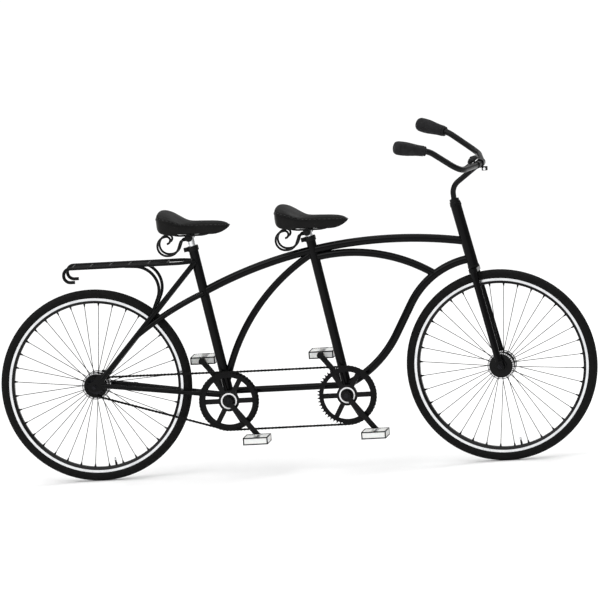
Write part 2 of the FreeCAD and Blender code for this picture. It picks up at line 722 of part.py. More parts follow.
def link_pair():
    """The roller link and the pin link of a one-eighth-inch chain, each as one solid."""
    roller = value("roller_radius")
    inside = value("ring_thickness") / 2 + 0.3
    plate_thickness = 1.0
    pin_radius = 1.8
    holes = [Part.makeCylinder(pin_radius + 0.05, 20, Vector(x, -10, 0), Vector(0, 1, 0))
             for x in (0, PITCH)]
    rollers = [Part.makeCylinder(roller, 2 * inside, Vector(x, -inside, 0), Vector(0, 1, 0))
               for x in (0, PITCH)]
    plates = [stadium(PITCH, 4.3, plate_thickness, low)
              for low in (-inside - plate_thickness, inside)]
    inner = plates[0].multiFuse([plates[1]] + rollers)
    for hole in holes:
        inner = inner.cut(hole)
    outside = inside + plate_thickness + 0.05
    plates = [stadium(PITCH, 4.1, plate_thickness, low)
              for low in (-outside - plate_thickness, outside)]
    reach = outside + plate_thickness + 0.4
    pins = [Part.makeCylinder(pin_radius, 2 * reach, Vector(x, -reach, 0), Vector(0, 1, 0))
            for x in (0, PITCH)]
    outer = plates[0].multiFuse([plates[1]] + pins)
    return inner.removeSplitter(), outer.removeSplitter()


def chain_of(label, pins, line):
    """Alternate roller and pin links on a closed loop of pin centres in the XZ plane."""
    inner, outer = link_pair()
    shapes = []
    for i, start in enumerate(pins):
        end = pins[(i + 1) % len(pins)]
        shape = (inner if i % 2 == 0 else outer).copy()
        angle = math.degrees(math.atan2(end.z - start.z, end.x - start.x))
        middle = (start + end) * 0.5 + RIGHT * value(line)
        shape.translate(Vector(-PITCH / 2, 0, 0))
        shape.rotate(Vector(), Vector(0, -1, 0), angle)
        shape.translate(middle)
        shapes.append(shape)
    return pattern(label, shapes)


def timing_pins():
    """Pin centres round two equal rings, clockwise seen from the right side."""
    radius = pitch_radius(RING_TEETH)
    step = 360 / RING_TEETH
    pins = [REAR_BB + Vector(i * PITCH, 0, radius) for i in range(TIMING_RUN)]
    for i in range(RING_TEETH // 2):
        angle = math.radians(90 - i * step)
        pins.append(FRONT_BB + Vector(math.cos(angle), 0, math.sin(angle)) * radius)
    pins += [FRONT_BB + Vector(-i * PITCH, 0, -radius) for i in range(TIMING_RUN)]
    for i in range(RING_TEETH // 2):
        angle = math.radians(-90 - i * step)
        pins.append(REAR_BB + Vector(math.cos(angle), 0, math.sin(angle)) * radius)
    return pins


def drive_pins():
    """Pin centres of the drive chain, and the angle of one pin on the ring and the sprocket."""
    splay, run = wrap_and_run(DRIVE_DISTANCE)
    big = pitch_radius(RING_TEETH)
    small = pitch_radius(SPROCKET_TEETH)
    tilt = math.atan2(REAR_HUB.z - REAR_BB.z, REAR_BB.x - REAR_HUB.x)
    top = math.pi / 2 - tilt + splay
    bottom = -math.pi / 2 - tilt - splay
    top_run = (Vector(math.cos(top), 0, math.sin(top)))
    low_run = (Vector(math.cos(bottom), 0, math.sin(bottom)))
    ring_wrap = RING_TEETH * (0.5 + splay / math.pi)
    sprocket_wrap = SPROCKET_TEETH * (0.5 - splay / math.pi)
    stretch = run / PITCH
    pins = []
    for i in range(DRIVE_LINKS):
        left = float(i)
        if left <= ring_wrap:
            angle = top - left * 2 * math.pi / RING_TEETH
            pins.append(REAR_BB + Vector(math.cos(angle), 0, math.sin(angle)) * big)
            continue
        left -= ring_wrap
        if left <= stretch:
            start = REAR_BB + low_run * big
            end = REAR_HUB + low_run * small
            pins.append(start + (end - start) * (left / stretch))
            continue
        left -= stretch
        if left <= sprocket_wrap:
            angle = bottom - left * 2 * math.pi / SPROCKET_TEETH
            pins.append(REAR_HUB + Vector(math.cos(angle), 0, math.sin(angle)) * small)
            sprocket_angle = math.degrees(angle)
            continue
        left -= sprocket_wrap
        start = REAR_HUB + top_run * small
        end = REAR_BB + top_run * big
        pins.append(start + (end - start) * (left / stretch))
    return pins, math.degrees(top), sprocket_angle


def build_transmission():
    pins, ring_angle, sprocket_angle = drive_pins()
    node("drive_chain", chain_of("drive_chain", pins, "drive_line"))
    node("timing_chain", chain_of("timing_chain", timing_pins(), "timing_line"))
    sprocket = toothed_wheel("sprocket", SPROCKET_TEETH, 18, "drive_line", REAR_HUB,
                             sprocket_angle)
    driver = turned("driver", [("axle_radius + running_gap", "34.3"), ("22", "34.3"),
                               ("22", "drive_line - ring_thickness / 2"),
                               ("18", "drive_line - ring_thickness / 2"), ("18", "50"),
                               ("axle_radius + running_gap", "50")], across(REAR_HUB))
    node("rear_sprocket", group("rear_sprocket", sprocket, driver))
    bore = value("ring_bore_radius")
    rear_drive = toothed_wheel("drive_ring", RING_TEETH, bore, "drive_line", REAR_BB, ring_angle)
    rear_timing = toothed_wheel("timing_ring", RING_TEETH, bore, "timing_line", REAR_BB, 90)
    front_timing = toothed_wheel("front_ring", RING_TEETH, bore, "timing_line", FRONT_BB, 90)
    build_crankset("rear", REAR_BB, [rear_drive, rear_timing])
    build_crankset("front", FRONT_BB, [front_timing])


def build_crankset(name, bracket, rings):
    """Spindle, chainwheels, spider, two arms and their bolts on one bottom bracket."""
    place = across(bracket)
    bolts = []
    for i in range(6):
        angle = math.radians(60 * i)
        spot = place.multiply(upright(Vector(math.cos(angle), math.sin(angle), 0)
                                      * value("bolt_circle_radius")))
        low = "drive_line - 2.6" if len(rings) == 2 else "drive_line - 0.6"
        bolts.append((turned(name + "_ring_bolt", [
            ("0", low), ("4.6", low), ("4.6", "drive_line - 1.3"), ("3", "drive_line - 1.3"),
            ("3", "timing_line + 1.3"), ("4.6", "timing_line + 1.3"), ("4.6", "timing_line + 2.5"),
            ("0", "timing_line + 2.5")] if len(rings) == 2 else [
            ("0", low), ("4.6", low), ("4.6", "drive_line + 1.3"), ("3", "drive_line + 1.3"),
            ("3", "timing_line + 1.3"), ("4.6", "timing_line + 1.3"), ("4.6", "timing_line + 2.5"),
            ("0", "timing_line + 2.5")], spot),
            disc(name + "_ring_hole", "3", "30", "70", spot)))
    holes = [hole for _, hole in bolts]
    drilled = [cut(name + "_chainwheel", ring, *holes) for ring in rings]
    wheels = "_chainwheels" if len(rings) == 2 else "_chainwheel"
    node(name + wheels, group(name + wheels, *drilled, *[bolt for bolt, _ in bolts]))

    low = "drive_line + ring_thickness / 2"
    high = "timing_line - ring_thickness / 2"
    hub_disc = disc(name + "_spider_disc", "spider_radius", low, high, place)
    arms = []
    for i in range(6):
        turn = Placement(Vector(), Rotation(Vector(0, 0, 1), 60 * i))
        arms.append(block(name + "_spider_arm", ("bolt_circle_radius + 6", "18",
                                                 "%s - (%s)" % (high, low)),
                          Vector(0, -9, value(low)), place.multiply(turn)))
    seat = disc(name + "_spider_seat", "16", "20", "70", place)
    spider = cut(name + "_spider", fuse(name + "_spider", hub_disc, *arms), seat, *holes)

    pieces = [spider]
    angle = value("crank_angle")
    for sign in (1, -1):
        turn = Placement(Vector(), Rotation(Vector(0, 0, 1), angle if sign > 0 else angle + 180))
        arm_place = place.multiply(turn)
        pieces.append(crank_arm(name, arm_place, sign))
        pieces.append(pedal_axle(name, arm_place, sign))
    node(name + "_crank_arms", group(name + "_crank_arms", *pieces))

    barrel = disc(name + "_spindle_barrel", "spindle_radius", "-42", "42", place)
    square = block(name + "_square", ("spindle_square", "spindle_square",
                                      "2 * (crank_inner_face + crank_thickness) - 6"),
                   Vector(-value("spindle_square") / 2, -value("spindle_square") / 2,
                          -value("crank_inner_face + crank_thickness") + 3),
                   place.multiply(Placement(Vector(), Rotation(Vector(0, 0, 1), angle))))
    spindle = fuse(name + "_spindle", barrel, square)
    caps = []
    for way in (-1, 1):
        cap_place = place.multiply(Placement(Vector(), Rotation(Vector(1, 0, 0), 90 - way * 90)))
        face = "crank_inner_face + crank_thickness"
        caps.append(turned(name + "_crank_bolt", [
            ("0", face + " - 3"), ("9", face + " - 3"), ("9", face + " + 1"), ("7", face + " + 3"),
            ("0", face + " + 3")], cap_place))
    node(name + "_spindle", group(name + "_spindle", spindle, *caps))


def crank_arm(name, place, sign):
    """A flat arm with a round boss at the spindle and one at the pedal."""
    inner = "crank_inner_face" if sign > 0 else "-crank_inner_face - crank_thickness"
    outer = "%s + crank_thickness" % inner
    boss_low = "42.5" if sign > 0 else inner
    boss_high = outer if sign > 0 else "-42.5"
    far = place.multiply(upright(Vector(value("crank_length"), 0, 0)))
    boss = disc(name + "_boss", "16", boss_low, boss_high, place)
    eye = disc(name + "_eye", "crank_width / 2 + 3", inner, outer, far)
    web = block(name + "_web", ("crank_length", "crank_width", "crank_thickness"),
                Vector(0, -value("crank_width") / 2, value(inner)), place)
    square = block(name + "_socket", ("spindle_square", "spindle_square", "60"),
                   Vector(-value("spindle_square") / 2, -value("spindle_square") / 2,
                          20 if sign > 0 else -80), place)
    end = outer if sign > 0 else inner
    recess = disc(name + "_recess", "9", end + (" - 3" if sign > 0 else " - 1"),
                  end + (" + 1" if sign > 0 else " + 3"), place)
    thread = disc(name + "_thread", "pedal_axle_radius + 2", inner + " - 1", outer + " + 1", far)
    arm = cut(name + "_arm", fuse(name + "_arm", boss, eye, web), square, recess, thread)
    rounding = make("Part::Fillet", name + "_arm")
    doc.recompute()
    rounding.Base = arm
    radius = 2.5
    rounding.Edges = [(i + 1, radius, radius) for i, edge in enumerate(arm.Shape.Edges)
                      if long_arm_edge(edge, place)]
    return rounding


def long_arm_edge(edge, place):
    """True for the arm's four long edges, which are rounded for the rider's ankle."""
    if edge.Curve.TypeId != "Part::GeomLine" or edge.Length < 100:
        return False
    return abs(edge.tangentAt(0).dot(place.Rotation.multVec(Vector(1, 0, 0)))) > 0.99


def pedal_axle(name, place, sign):
    """Screwed into the arm, with a collar against its outer face."""
    outer = "crank_inner_face + crank_thickness"
    way = Rotation() if sign > 0 else Rotation(Vector(1, 0, 0), 180)
    far = place.multiply(Placement(Vector(value("crank_length"), 0, 0), way))
    return turned(name + "_pedal_axle", [
        ("0", "crank_inner_face"), ("pedal_axle_radius + 2", "crank_inner_face"),
        ("pedal_axle_radius + 2", outer), ("9", outer), ("9", outer + " + 3"),
        ("pedal_axle_radius", outer + " + 3"), ("pedal_axle_radius", outer + " + pedal_width - 1"),
        ("0", outer + " + pedal_width - 1")], far)


def build_pedals():
    """Four block pedals, each turning on its own axle."""
    for name, bracket in (("rear", REAR_BB), ("front", FRONT_BB)):
        for side_name, sign in (("right", 1), ("left", -1)):
            turn = value("crank_angle") + (0 if sign > 0 else 180)
            reach = Vector(math.cos(math.radians(turn)), 0, math.sin(math.radians(turn)))
            centre = bracket + reach * value("crank_length")
            node("%s_%s_pedal" % (name, side_name), pedal(name + side_name, centre, sign))


def pedal(name, centre, sign):
    """Two rubber blocks, two end plates and a bored barrel between them."""
    inner = "crank_inner_face + crank_thickness + 4"
    way = Rotation(Vector(1, 0, 0), 90) if sign > 0 else Rotation(Vector(1, 0, 0), -90)
    place = Placement(centre, way)
    hole = disc(name + "_hole", "pedal_axle_radius + running_gap", inner + " - 2",
                inner + " + pedal_width + 3", place)
    barrel = disc(name + "_barrel", "9", inner + " + 3", inner + " + pedal_width - 3", place)
    pieces = [cut(name + "_barrel", barrel, hole)]
    for low in (inner, inner + " + pedal_width - 3"):
        cheek = block(name + "_cheek", ("pedal_length - 8", "pedal_thickness - 6", "3"),
                      Vector(-value("pedal_length - 8") / 2, -value("pedal_thickness - 6") / 2,
                             value(low)), place)
        pieces.append(cut(name + "_cheek", cheek, hole) if low == inner else cheek)
    for end in (-1, 1):
        corner_x = value("pedal_length") / 2 * end - (23 if end > 0 else 0)
        rubber = block(name + "_rubber", ("23", "pedal_thickness", "pedal_width - 6"),
                       Vector(corner_x, -value("pedal_thickness") / 2, value(inner) + 3), place)
        pieces.append(rubber)
    return group(name + "_pedal", *pieces)


# ---------------------------------------------------------------- steering
def build_steering():
    place = leaning(FRONT_HUB, HEAD_LEAN)
    lower = turned("lower_cup", [
        ("steerer_radius + running_gap", "crown_start + crown_height + 0.3"),
        ("21.5", "crown_start + crown_height + 0.3"), ("21.5", "head_tube_start"),
        ("head_tube_bore", "head_tube_start"), ("head_tube_bore", "head_tube_start + 9"),
        ("steerer_radius + running_gap", "head_tube_start + 9")], place)
    upper = turned("upper_cup", [
        ("steerer_radius + running_gap", "head_tube_end - 9"), ("head_tube_bore", "head_tube_end - 9"),
        ("head_tube_bore", "head_tube_end"), ("21.5", "head_tube_end"),
        ("20.5", "head_tube_end + 10"), ("steerer_radius + running_gap", "head_tube_end + 10")],
        place)
    node("headset_cups", group("headset_cups", lower, upper))
    node("headset_locknut", turned("headset_locknut", [
        ("steerer_radius", "head_tube_end + 10.3"), ("20", "head_tube_end + 10.3"),
        ("20", "head_tube_end + 16"), ("17.5", "head_tube_end + 17"),
        ("17.5", "head_tube_end + 26"), ("steerer_radius", "head_tube_end + 26")], place))
    build_fork(place)
    build_stem(place)
    build_bar()
    build_bell()


def build_fork(place):
    steerer = disc("steerer", "steerer_radius", "crown_start", "head_tube_end + 26", place)
    crown = block("crown", ("32", "2 * 38", "crown_height"),
                  Vector(-16, -38, value("crown_start")), place)
    ends = [disc("crown_end", "16", "crown_start", "crown_start + crown_height",
                 place.multiply(upright(Vector(0, 38 * sign, 0)))) for sign in (-1, 1)]
    bore = disc("steerer_bore", "steerer_radius - steerer_wall", "crown_start - 1",
                "head_tube_end + 30", place)
    pieces = [cut("fork_crown", fuse("crown", steerer, crown, *ends), bore)]
    gap = value("fork_gap / 2 + dropout_thickness / 2")
    for sign in (-1, 1):
        tip_place = across(Vector(FRONT_HUB.x, gap * sign + value("dropout_thickness") / 2, HUB_Z))
        tilt = Placement(Vector(), Rotation(Vector(0, 0, 1), HEAD_LEAN))
        tip = plate("fork_tip", [("-10", "-14"), ("10", "-14"), ("14", "-4"), ("11", "56"),
                                 ("-11", "56"), ("-14", "-4")], "dropout_thickness",
                    tip_place.multiply(tilt))
        hole = disc("fork_tip_hole", "axle_radius", "-70", "70", across(FRONT_HUB))
        tip = cut("fork_tip", tip, hole)
        start = on_head_axis(20) + Vector(0, gap * sign, 0)
        end = on_head_axis(value("crown_start")) + Vector(0, 38 * sign, 0)
        leg, _ = tube("fork_leg", straight(start, end), "fork_leg_diameter", "tube_wall", tip,
                      disc("leg_trim", "60", "crown_start", "crown_start + 20", place))
        pieces.extend([tip, leg])
    node("fork", group("fork", *pieces))


CLAMP = Vector(712, 0, 1086)


def build_stem(place):
    """A swan-necked quill stem whose clamp holds the handlebar."""
    foot = on_head_axis(value("head_tube_end") + 27)
    corner = Vector(603, 0, 1005)
    neck = swept("neck", rounded([foot, corner, CLAMP], [52]), "neck_diameter / 2")
    quill = disc("quill", "steerer_radius - steerer_wall - running_gap", "head_tube_end - 60",
                 "head_tube_end + 28", place)
    barrel = pin("clamp_barrel", "bar_diameter / 2 + 5", CLAMP + Vector(0, 20, 0),
                 CLAMP + Vector(0, -20, 0))
    hole = pin("clamp_hole", "bar_diameter / 2", CLAMP + Vector(0, 30, 0),
               CLAMP + Vector(0, -30, 0))
    ear = block("clamp_ear", ("20", "16", "14"), Vector(4, -8, -28), upright(CLAMP))
    bolt_hole = pin("clamp_bolt_hole", "3", CLAMP + Vector(14, 20, -21),
                    CLAMP + Vector(14, -20, -21))
    node("stem", cut("stem", fuse("stem", neck, quill, barrel, ear), hole, bolt_hole))
    bolt = turned("clamp_bolt", [("0", "-11"), ("5", "-11"), ("5", "-8"), ("3", "-8"), ("3", "8"),
                                 ("5", "8"), ("5", "13"), ("0", "13")],
                  across(CLAMP + Vector(14, 0, -21)))
    node("stem_bolt", bolt)


def bar_points(sign):
    """One half of the handlebar from the clamp to the open end."""
    return [CLAMP + Vector(0, 34 * sign, 0), Vector(672, 236 * sign, 1091),
            Vector(567, 250 * sign, 1168), Vector(452, 309 * sign, 1197)]


def build_bar():
    right = bar_points(-1)
    left = bar_points(1)
    wire = rounded(list(reversed(right)) + left, [70, 55, 150, 150, 55, 70])
    bar = swept("bar", wire, "bar_diameter / 2")
    bore = swept("bar_bore", wire, "bar_diameter / 2 - tube_wall")
    node("handlebar", cut("handlebar", bar, bore))
    for name, points in (("right_grip", right), ("left_grip", left)):
        way = (points[2] - points[3]).normalize()
        node(name, turned(name, [
            ("0", "-5"), ("14", "-5"), ("20", "-1"), ("grip_radius", "12"), ("grip_radius", "34"),
            ("grip_radius - 3", "60"), ("grip_radius - 1", "84"), ("17", "108"), ("15", "111"),
            ("18", "113"), ("18", "116"), ("bar_diameter / 2", "116"), ("bar_diameter / 2", "0"),
            ("0", "0")], along(points[3], way)))


def build_bell():
    """A dome bell on a bracket beside the stem, with a sprung thumb lever."""
    bar_way = Vector(672, -236, 1091) - (CLAMP + Vector(0, -34, 0))
    foot = CLAMP + Vector(0, -34, 0) + bar_way * (26 / bar_way.Length)
    place = Placement(foot, Rotation(Vector(0, 1, 0), -35))
    ring = pin("bell_ring", "bar_diameter / 2 + 3", foot - bar_way * (5 / bar_way.Length),
               foot + bar_way * (5 / bar_way.Length))
    ring_bore = pin("bell_ring_bore", "bar_diameter / 2", foot - bar_way * (9 / bar_way.Length),
                    foot + bar_way * (9 / bar_way.Length))
    pillar = disc("bell_pillar", "4", "bar_diameter / 2 - 1", "33", place)
    pan = disc("bell_pan", "bell_radius - 4", "16", "19", place)
    pivot = place.multiply(upright(Vector(0, -value("bell_radius") - 7, 0)))
    stub = disc("bell_stub", "2.5", "16", "27", pivot)
    shelf = block("bell_shelf", ("8", "bell_radius", "3"),
                  Vector(-4, -value("bell_radius") - 11, 16), place)
    base = cut("bell_base", fuse("bell_base", ring, pillar, pan, shelf, stub), ring_bore)
    node("bell_base", base)
    shell = turned("bell_dome", [
        ("4", "33"), ("4", "35.5"), ("9", "35"), ("16", "32"), ("21", "27.5"),
        ("bell_radius", "21"), ("bell_radius", "19.5"), ("bell_radius - 1.5", "19.5"),
        ("bell_radius - 1.5", "21"), ("19.5", "27"), ("15", "30.5"), ("9", "33")], place)
    cap = disc("bell_cap", "4", "33", "37.5", place)
    node("bell_dome", group("bell_dome", shell, cap))
    eye = disc("lever_eye", "5", "20", "24", pivot)
    reach = block("lever_arm", ("26", "5", "4"), Vector(-30, -3.5, 20), pivot)
    thumb = disc("lever_thumb", "6.5", "20", "24", pivot.multiply(upright(Vector(-30, -1, 0))))
    hole = disc("lever_hole", "2.5 + running_gap", "15", "30", pivot)
    node("bell_lever", cut("bell_lever", fuse("bell_lever", eye, reach, thumb), hole))


# ---------------------------------------------------------------- saddles
def build_saddles():
    for name, bracket in (("rear", REAR_BB), ("front", FRONT_BB)):
        build_saddle(name, bracket)


def build_saddle(name, bracket):
    """Seat post, spring frame and padded top; everything is placed from the post's axis."""
    height = value("saddle_height")
    head = on_seat_tube(bracket, height - 8)
    origin = Vector(head.x, 0, height)
    place = leaning(head, SEAT_LEAN)
    post = disc(name + "_post", "post_radius", "-175", "-4", place)
    bore = disc(name + "_post_hollow", "post_radius - post_wall", "-180", "-14", place)
    node(name + "_seat_post", cut(name + "_seat_post", post, bore))

    socket = disc(name + "_socket", "post_radius", "-60", "-4", place)
    barrel = pin(name + "_clamp_barrel", "13", origin + Vector(0, 22, -14),
                 origin + Vector(0, -22, -14))
    bolt = pin(name + "_clamp_bolt", "4", origin + Vector(0, 42, -14),
               origin + Vector(0, -42, -14))
    pieces = [cut(name + "_clamp_barrel", barrel, socket, bolt),
              cut(name + "_clamp_bolt", bolt, socket)]
    rails = []
    for sign in (-1, 1):
        y = 28 * sign
        spring = swept(name + "_spring", rounded([
            origin + Vector(4, y, -20), origin + Vector(-30, y, -24), origin + Vector(-50, y, -77),
            origin + Vector(-116, y, -77), origin + Vector(-116, y, -7),
            origin + Vector(-68, y, -7), origin + Vector(-68, y, -33),
            origin + Vector(-81, y, -33)], [10, 38, 34.9, 34.9, 12.9, 12.9]), "4")
        rail = swept(name + "_rail", rounded([
            origin + Vector(-92, y * 1.7, 12), origin + Vector(-40, y, -6),
            origin + Vector(60, y, -6), origin + Vector(124, 9 * sign, 14)], [60, 90]), "3.5")
        cheek = pin(name + "_cheek", "14.5", origin + Vector(0, 22.1 * sign, -14),
                    origin + Vector(0, 34 * sign, -14))
        nut = pin(name + "_clamp_nut", "7", origin + Vector(0, 34 * sign, -14),
                  origin + Vector(0, 40 * sign, -14))
        pieces.extend([spring, rail, cut(name + "_cheek", cheek, bolt, rail, spring),
                       cut(name + "_clamp_nut", nut, bolt, rail, spring)])
        rails.append(rail)
    node(name + "_saddle_frame", group(name + "_saddle_frame", *pieces))
    node(name + "_saddle", cut(name + "_saddle", saddle_top(name, origin), *rails))


SADDLE_SIDE = [("-113", "62"), ("-99", "88"), ("-80", "85"), ("-58", "75"), ("-36", "60"),
               ("-12", "46"), ("12", "43"), ("112", "40"), ("136", "33"), ("148", "20"),
               ("134", "8"), ("110", "1"), ("64", "1"), ("0", "3"), ("-90", "2"), ("-106", "18")]
SADDLE_PLAN = [("-116", "40"), ("-113", "70"), ("-98", "92"), ("-74", "98"), ("-48", "90"),
               ("-20", "66"), ("8", "42"), ("40", "28"), ("90", "22"), ("132", "20"), ("148", "8")]


def saddle_top(name, origin):
    """The padded top as its plain outer shape: the side outline met by the plan outline."""
    flank = plate(name + "_flank", SADDLE_SIDE, "220", across(origin + Vector(0, 110, 0)))
    plan = SADDLE_PLAN + [(x, "-" + y) for x, y in reversed(SADDLE_PLAN)]
    column = plate(name + "_plan", plan, "160", upright(origin + Vector(0, 0, -20)))
    shape = make("Part::Common", name + "_saddle")
    shape.Base = flank
    shape.Tool = column
    return shape


# ---------------------------------------------------------------- build, check and write
def check_and_write():
    doc.recompute()
    bad = [thing.Label for thing in doc.Objects
           if "Invalid" in thing.State or "Error" in thing.State]
    if bad:
        raise RuntimeError("objects that failed: %s" % bad)
    for thing in NODES:
        if thing.Shape.isNull() or not thing.Shape.isValid():
            raise RuntimeError("sub-part with no valid shape: " + thing.Label)
    for thing in NODES:
        thing.Shape.exportStep("parts/%s.step" % thing.Label)
        solids = len(thing.Shape.Solids)
        print("%-24s solids %3d  volume %10.0f" % (thing.Label, solids, thing.Shape.Volume))


os.makedirs("parts", exist_ok=True)
build_frame()
build_wheels()
build_transmission()
build_pedals()
build_steering()
build_saddles()
check_and_write()
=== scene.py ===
"""The looks of the tandem bicycle: materials, tyres, saddles, grips, pedals, light and camera.

Everything is in metres in the CAD frame: +X forwards, +Y to the left, +Z up. Places come from
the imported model's boxes, and the chains are on the right side, towards -Y.
"""
import json
import math

import bmesh
import bpy
from mathutils import Matrix, Vector


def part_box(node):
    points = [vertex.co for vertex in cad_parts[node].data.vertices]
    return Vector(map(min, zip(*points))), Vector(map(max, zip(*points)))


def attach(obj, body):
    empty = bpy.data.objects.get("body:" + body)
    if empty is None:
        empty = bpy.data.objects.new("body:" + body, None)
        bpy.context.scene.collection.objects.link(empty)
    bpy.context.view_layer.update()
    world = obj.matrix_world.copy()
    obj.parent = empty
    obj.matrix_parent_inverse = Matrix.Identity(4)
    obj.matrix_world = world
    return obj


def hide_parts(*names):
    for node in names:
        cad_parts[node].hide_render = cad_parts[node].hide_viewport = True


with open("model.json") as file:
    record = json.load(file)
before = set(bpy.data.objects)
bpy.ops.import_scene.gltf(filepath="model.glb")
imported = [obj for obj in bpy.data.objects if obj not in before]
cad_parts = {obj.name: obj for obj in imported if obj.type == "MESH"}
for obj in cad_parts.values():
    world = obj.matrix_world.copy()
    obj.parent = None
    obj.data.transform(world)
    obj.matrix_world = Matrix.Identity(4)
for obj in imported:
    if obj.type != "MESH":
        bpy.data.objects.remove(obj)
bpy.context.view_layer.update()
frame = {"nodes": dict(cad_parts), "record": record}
NODES = frame["nodes"]
MM = 0.001


# ------------------------------------------------------------------ node helpers
class Shader:
    """A small wrapper that adds nodes to a material and links them."""

    def __init__(self, name):
        self.material = bpy.data.materials.new(name)
        self.material.use_nodes = True
        self.tree = self.material.node_tree
        self.surface = self.tree.nodes["Principled BSDF"]
        self.position = self.add("ShaderNodeTexCoord").outputs["Object"]

    def add(self, kind, **settings):
        made = self.tree.nodes.new(kind)
        for name, setting in settings.items():
            setattr(made, name, setting)
        return made

    def link(self, output, target):
        self.tree.links.new(output, target)

    def set(self, **sockets):
        for name, number in sockets.items():
            self.surface.inputs[name.replace("_", " ")].default_value = number
        return self

    def noise(self, scale, detail=4.0, rough=0.55, stretch=None):
        texture = self.add("ShaderNodeTexNoise")
        texture.inputs["Scale"].default_value = scale
        texture.inputs["Detail"].default_value = detail
        texture.inputs["Roughness"].default_value = rough
        source = self.position
        if stretch:
            mapping = self.add("ShaderNodeMapping")
            mapping.inputs["Scale"].default_value = stretch
            self.link(source, mapping.inputs["Vector"])
            source = mapping.outputs["Vector"]
        self.link(source, texture.inputs["Vector"])
        return texture.outputs["Fac"]

    def cells(self, scale, feature="F1"):
        texture = self.add("ShaderNodeTexVoronoi", feature=feature)
        texture.inputs["Scale"].default_value = scale
        self.link(self.position, texture.inputs["Vector"])
        return texture.outputs["Distance"]

    def ramp(self, value, stops, interpolation="LINEAR"):
        ramp = self.add("ShaderNodeValToRGB")
        ramp.color_ramp.interpolation = interpolation
        elements = ramp.color_ramp.elements
        while len(elements) < len(stops):
            elements.new(0.5)
        for element, (place, colour) in zip(elements, stops):
            element.position = place
            element.color = (*colour, 1) if len(colour) == 3 else colour
        self.link(value, ramp.inputs["Fac"])
        return ramp.outputs["Color"]

    def range(self, value, low, high, to_low, to_high):
        mapped = self.add("ShaderNodeMapRange")
        for name, number in (("From Min", low), ("From Max", high), ("To Min", to_low),
                             ("To Max", to_high)):
            mapped.inputs[name].default_value = number
        self.link(value, mapped.inputs["Value"])
        return mapped.outputs["Result"]

    def maths(self, operation, first, second=None):
        made = self.add("ShaderNodeMath", operation=operation)
        for socket, thing in zip(made.inputs, (first, second)):
            if thing is None:
                continue
            if isinstance(thing, (int, float)):
                socket.default_value = thing
            else:
                self.link(thing, socket)
        return made.outputs[0]

    def mix(self, factor, first, second):
        made = self.add("ShaderNodeMix", data_type="RGBA")
        self.link(factor, made.inputs["Factor"])
        for socket, thing in ((made.inputs[6], first), (made.inputs[7], second)):
            if isinstance(thing, tuple):
                socket.default_value = (*thing, 1)
            else:
                self.link(thing, socket)
        return made.outputs[2]

    def colour(self, output):
        self.link(output, self.surface.inputs["Base Color"])
        return self

    def roughness(self, output):
        self.link(output, self.surface.inputs["Roughness"])
        return self

    def bump(self, height, depth, strength=1.0, soft_edge=0.0):
        bump = self.add("ShaderNodeBump")
        bump.inputs["Distance"].default_value = depth
        bump.inputs["Strength"].default_value = strength
        self.link(height, bump.inputs["Height"])
        if soft_edge:
            bevel = self.add("ShaderNodeBevel", samples=4)
            bevel.inputs["Radius"].default_value = soft_edge
            self.link(bevel.outputs["Normal"], bump.inputs["Normal"])
        self.link(bump.outputs["Normal"], self.surface.inputs["Normal"])
        return self

    def radius_from(self, hub):
        """Distance from an axle that runs along Y through hub."""
        split = self.add("ShaderNodeSeparateXYZ")
        self.link(self.position, split.inputs[0])
        dx = self.maths("SUBTRACT", split.outputs[0], hub.x)
        dz = self.maths("SUBTRACT", split.outputs[2], hub.z)
        squares = self.maths("ADD", self.maths("MULTIPLY", dx, dx),
                             self.maths("MULTIPLY", dz, dz))
        return self.maths("SQRT", squares)

    def band(self, measured, low, high, edge=0.0003):
        """One where a measure lies between two numbers, nought elsewhere."""
        above = self.range(measured, low - edge, low + edge, 0.0, 1.0)
        below = self.range(measured, high - edge, high + edge, 1.0, 0.0)
        return self.maths("MULTIPLY", above, below)


# ------------------------------------------------------------------ materials
def enamel(name, tint=(0.0016, 0.0016, 0.0018), gloss=0.14):
    """Deep black stove enamel with a thin clear coat and faint orange peel."""
    s = Shader(name)
    s.set(Coat_Weight=0.05, Coat_Roughness=0.05, IOR=1.45, Specular_IOR_Level=0.10)
    cloud = s.noise(9.0)
    s.colour(s.ramp(cloud, [(0.3, tint), (0.75, tuple(c * 1.9 for c in tint))]))
    s.roughness(s.range(s.noise(60.0), 0.3, 0.7, gloss, gloss + 0.12))
    s.bump(s.noise(420.0, 2.0), 0.00004, 0.35, soft_edge=0.0008)
    return s.material


def satin_metal(name, low, high, rough, metallic=1.0, coat=0.0, grain=(1, 1, 1)):
    """Bare or blacked metal with a fine grain and handling marks."""
    s = Shader(name)
    s.set(Metallic=metallic, Coat_Weight=coat, Coat_Roughness=0.12, Specular_IOR_Level=0.12)
    s.colour(s.ramp(s.noise(35.0), [(0.25, low), (0.75, high)]))
    smudge = s.noise(14.0, 5.0)
    s.roughness(s.range(smudge, 0.3, 0.7, rough * 0.75, rough * 1.35))
    s.bump(s.noise(900.0, 2.0, stretch=grain), 0.00002, 0.4, soft_edge=0.0006)
    return s.material


def chrome():
    s = Shader("chrome_plate")
    s.set(Metallic=1.0, Specular_IOR_Level=0.6)
    s.colour(s.ramp(s.noise(22.0), [(0.3, (0.80, 0.81, 0.83)), (0.7, (0.92, 0.93, 0.94))]))
    s.roughness(s.range(s.noise(48.0, 6.0), 0.35, 0.7, 0.05, 0.16))
    s.bump(s.noise(260.0, 2.0), 0.00002, 0.25, soft_edge=0.0006)
    return s.material


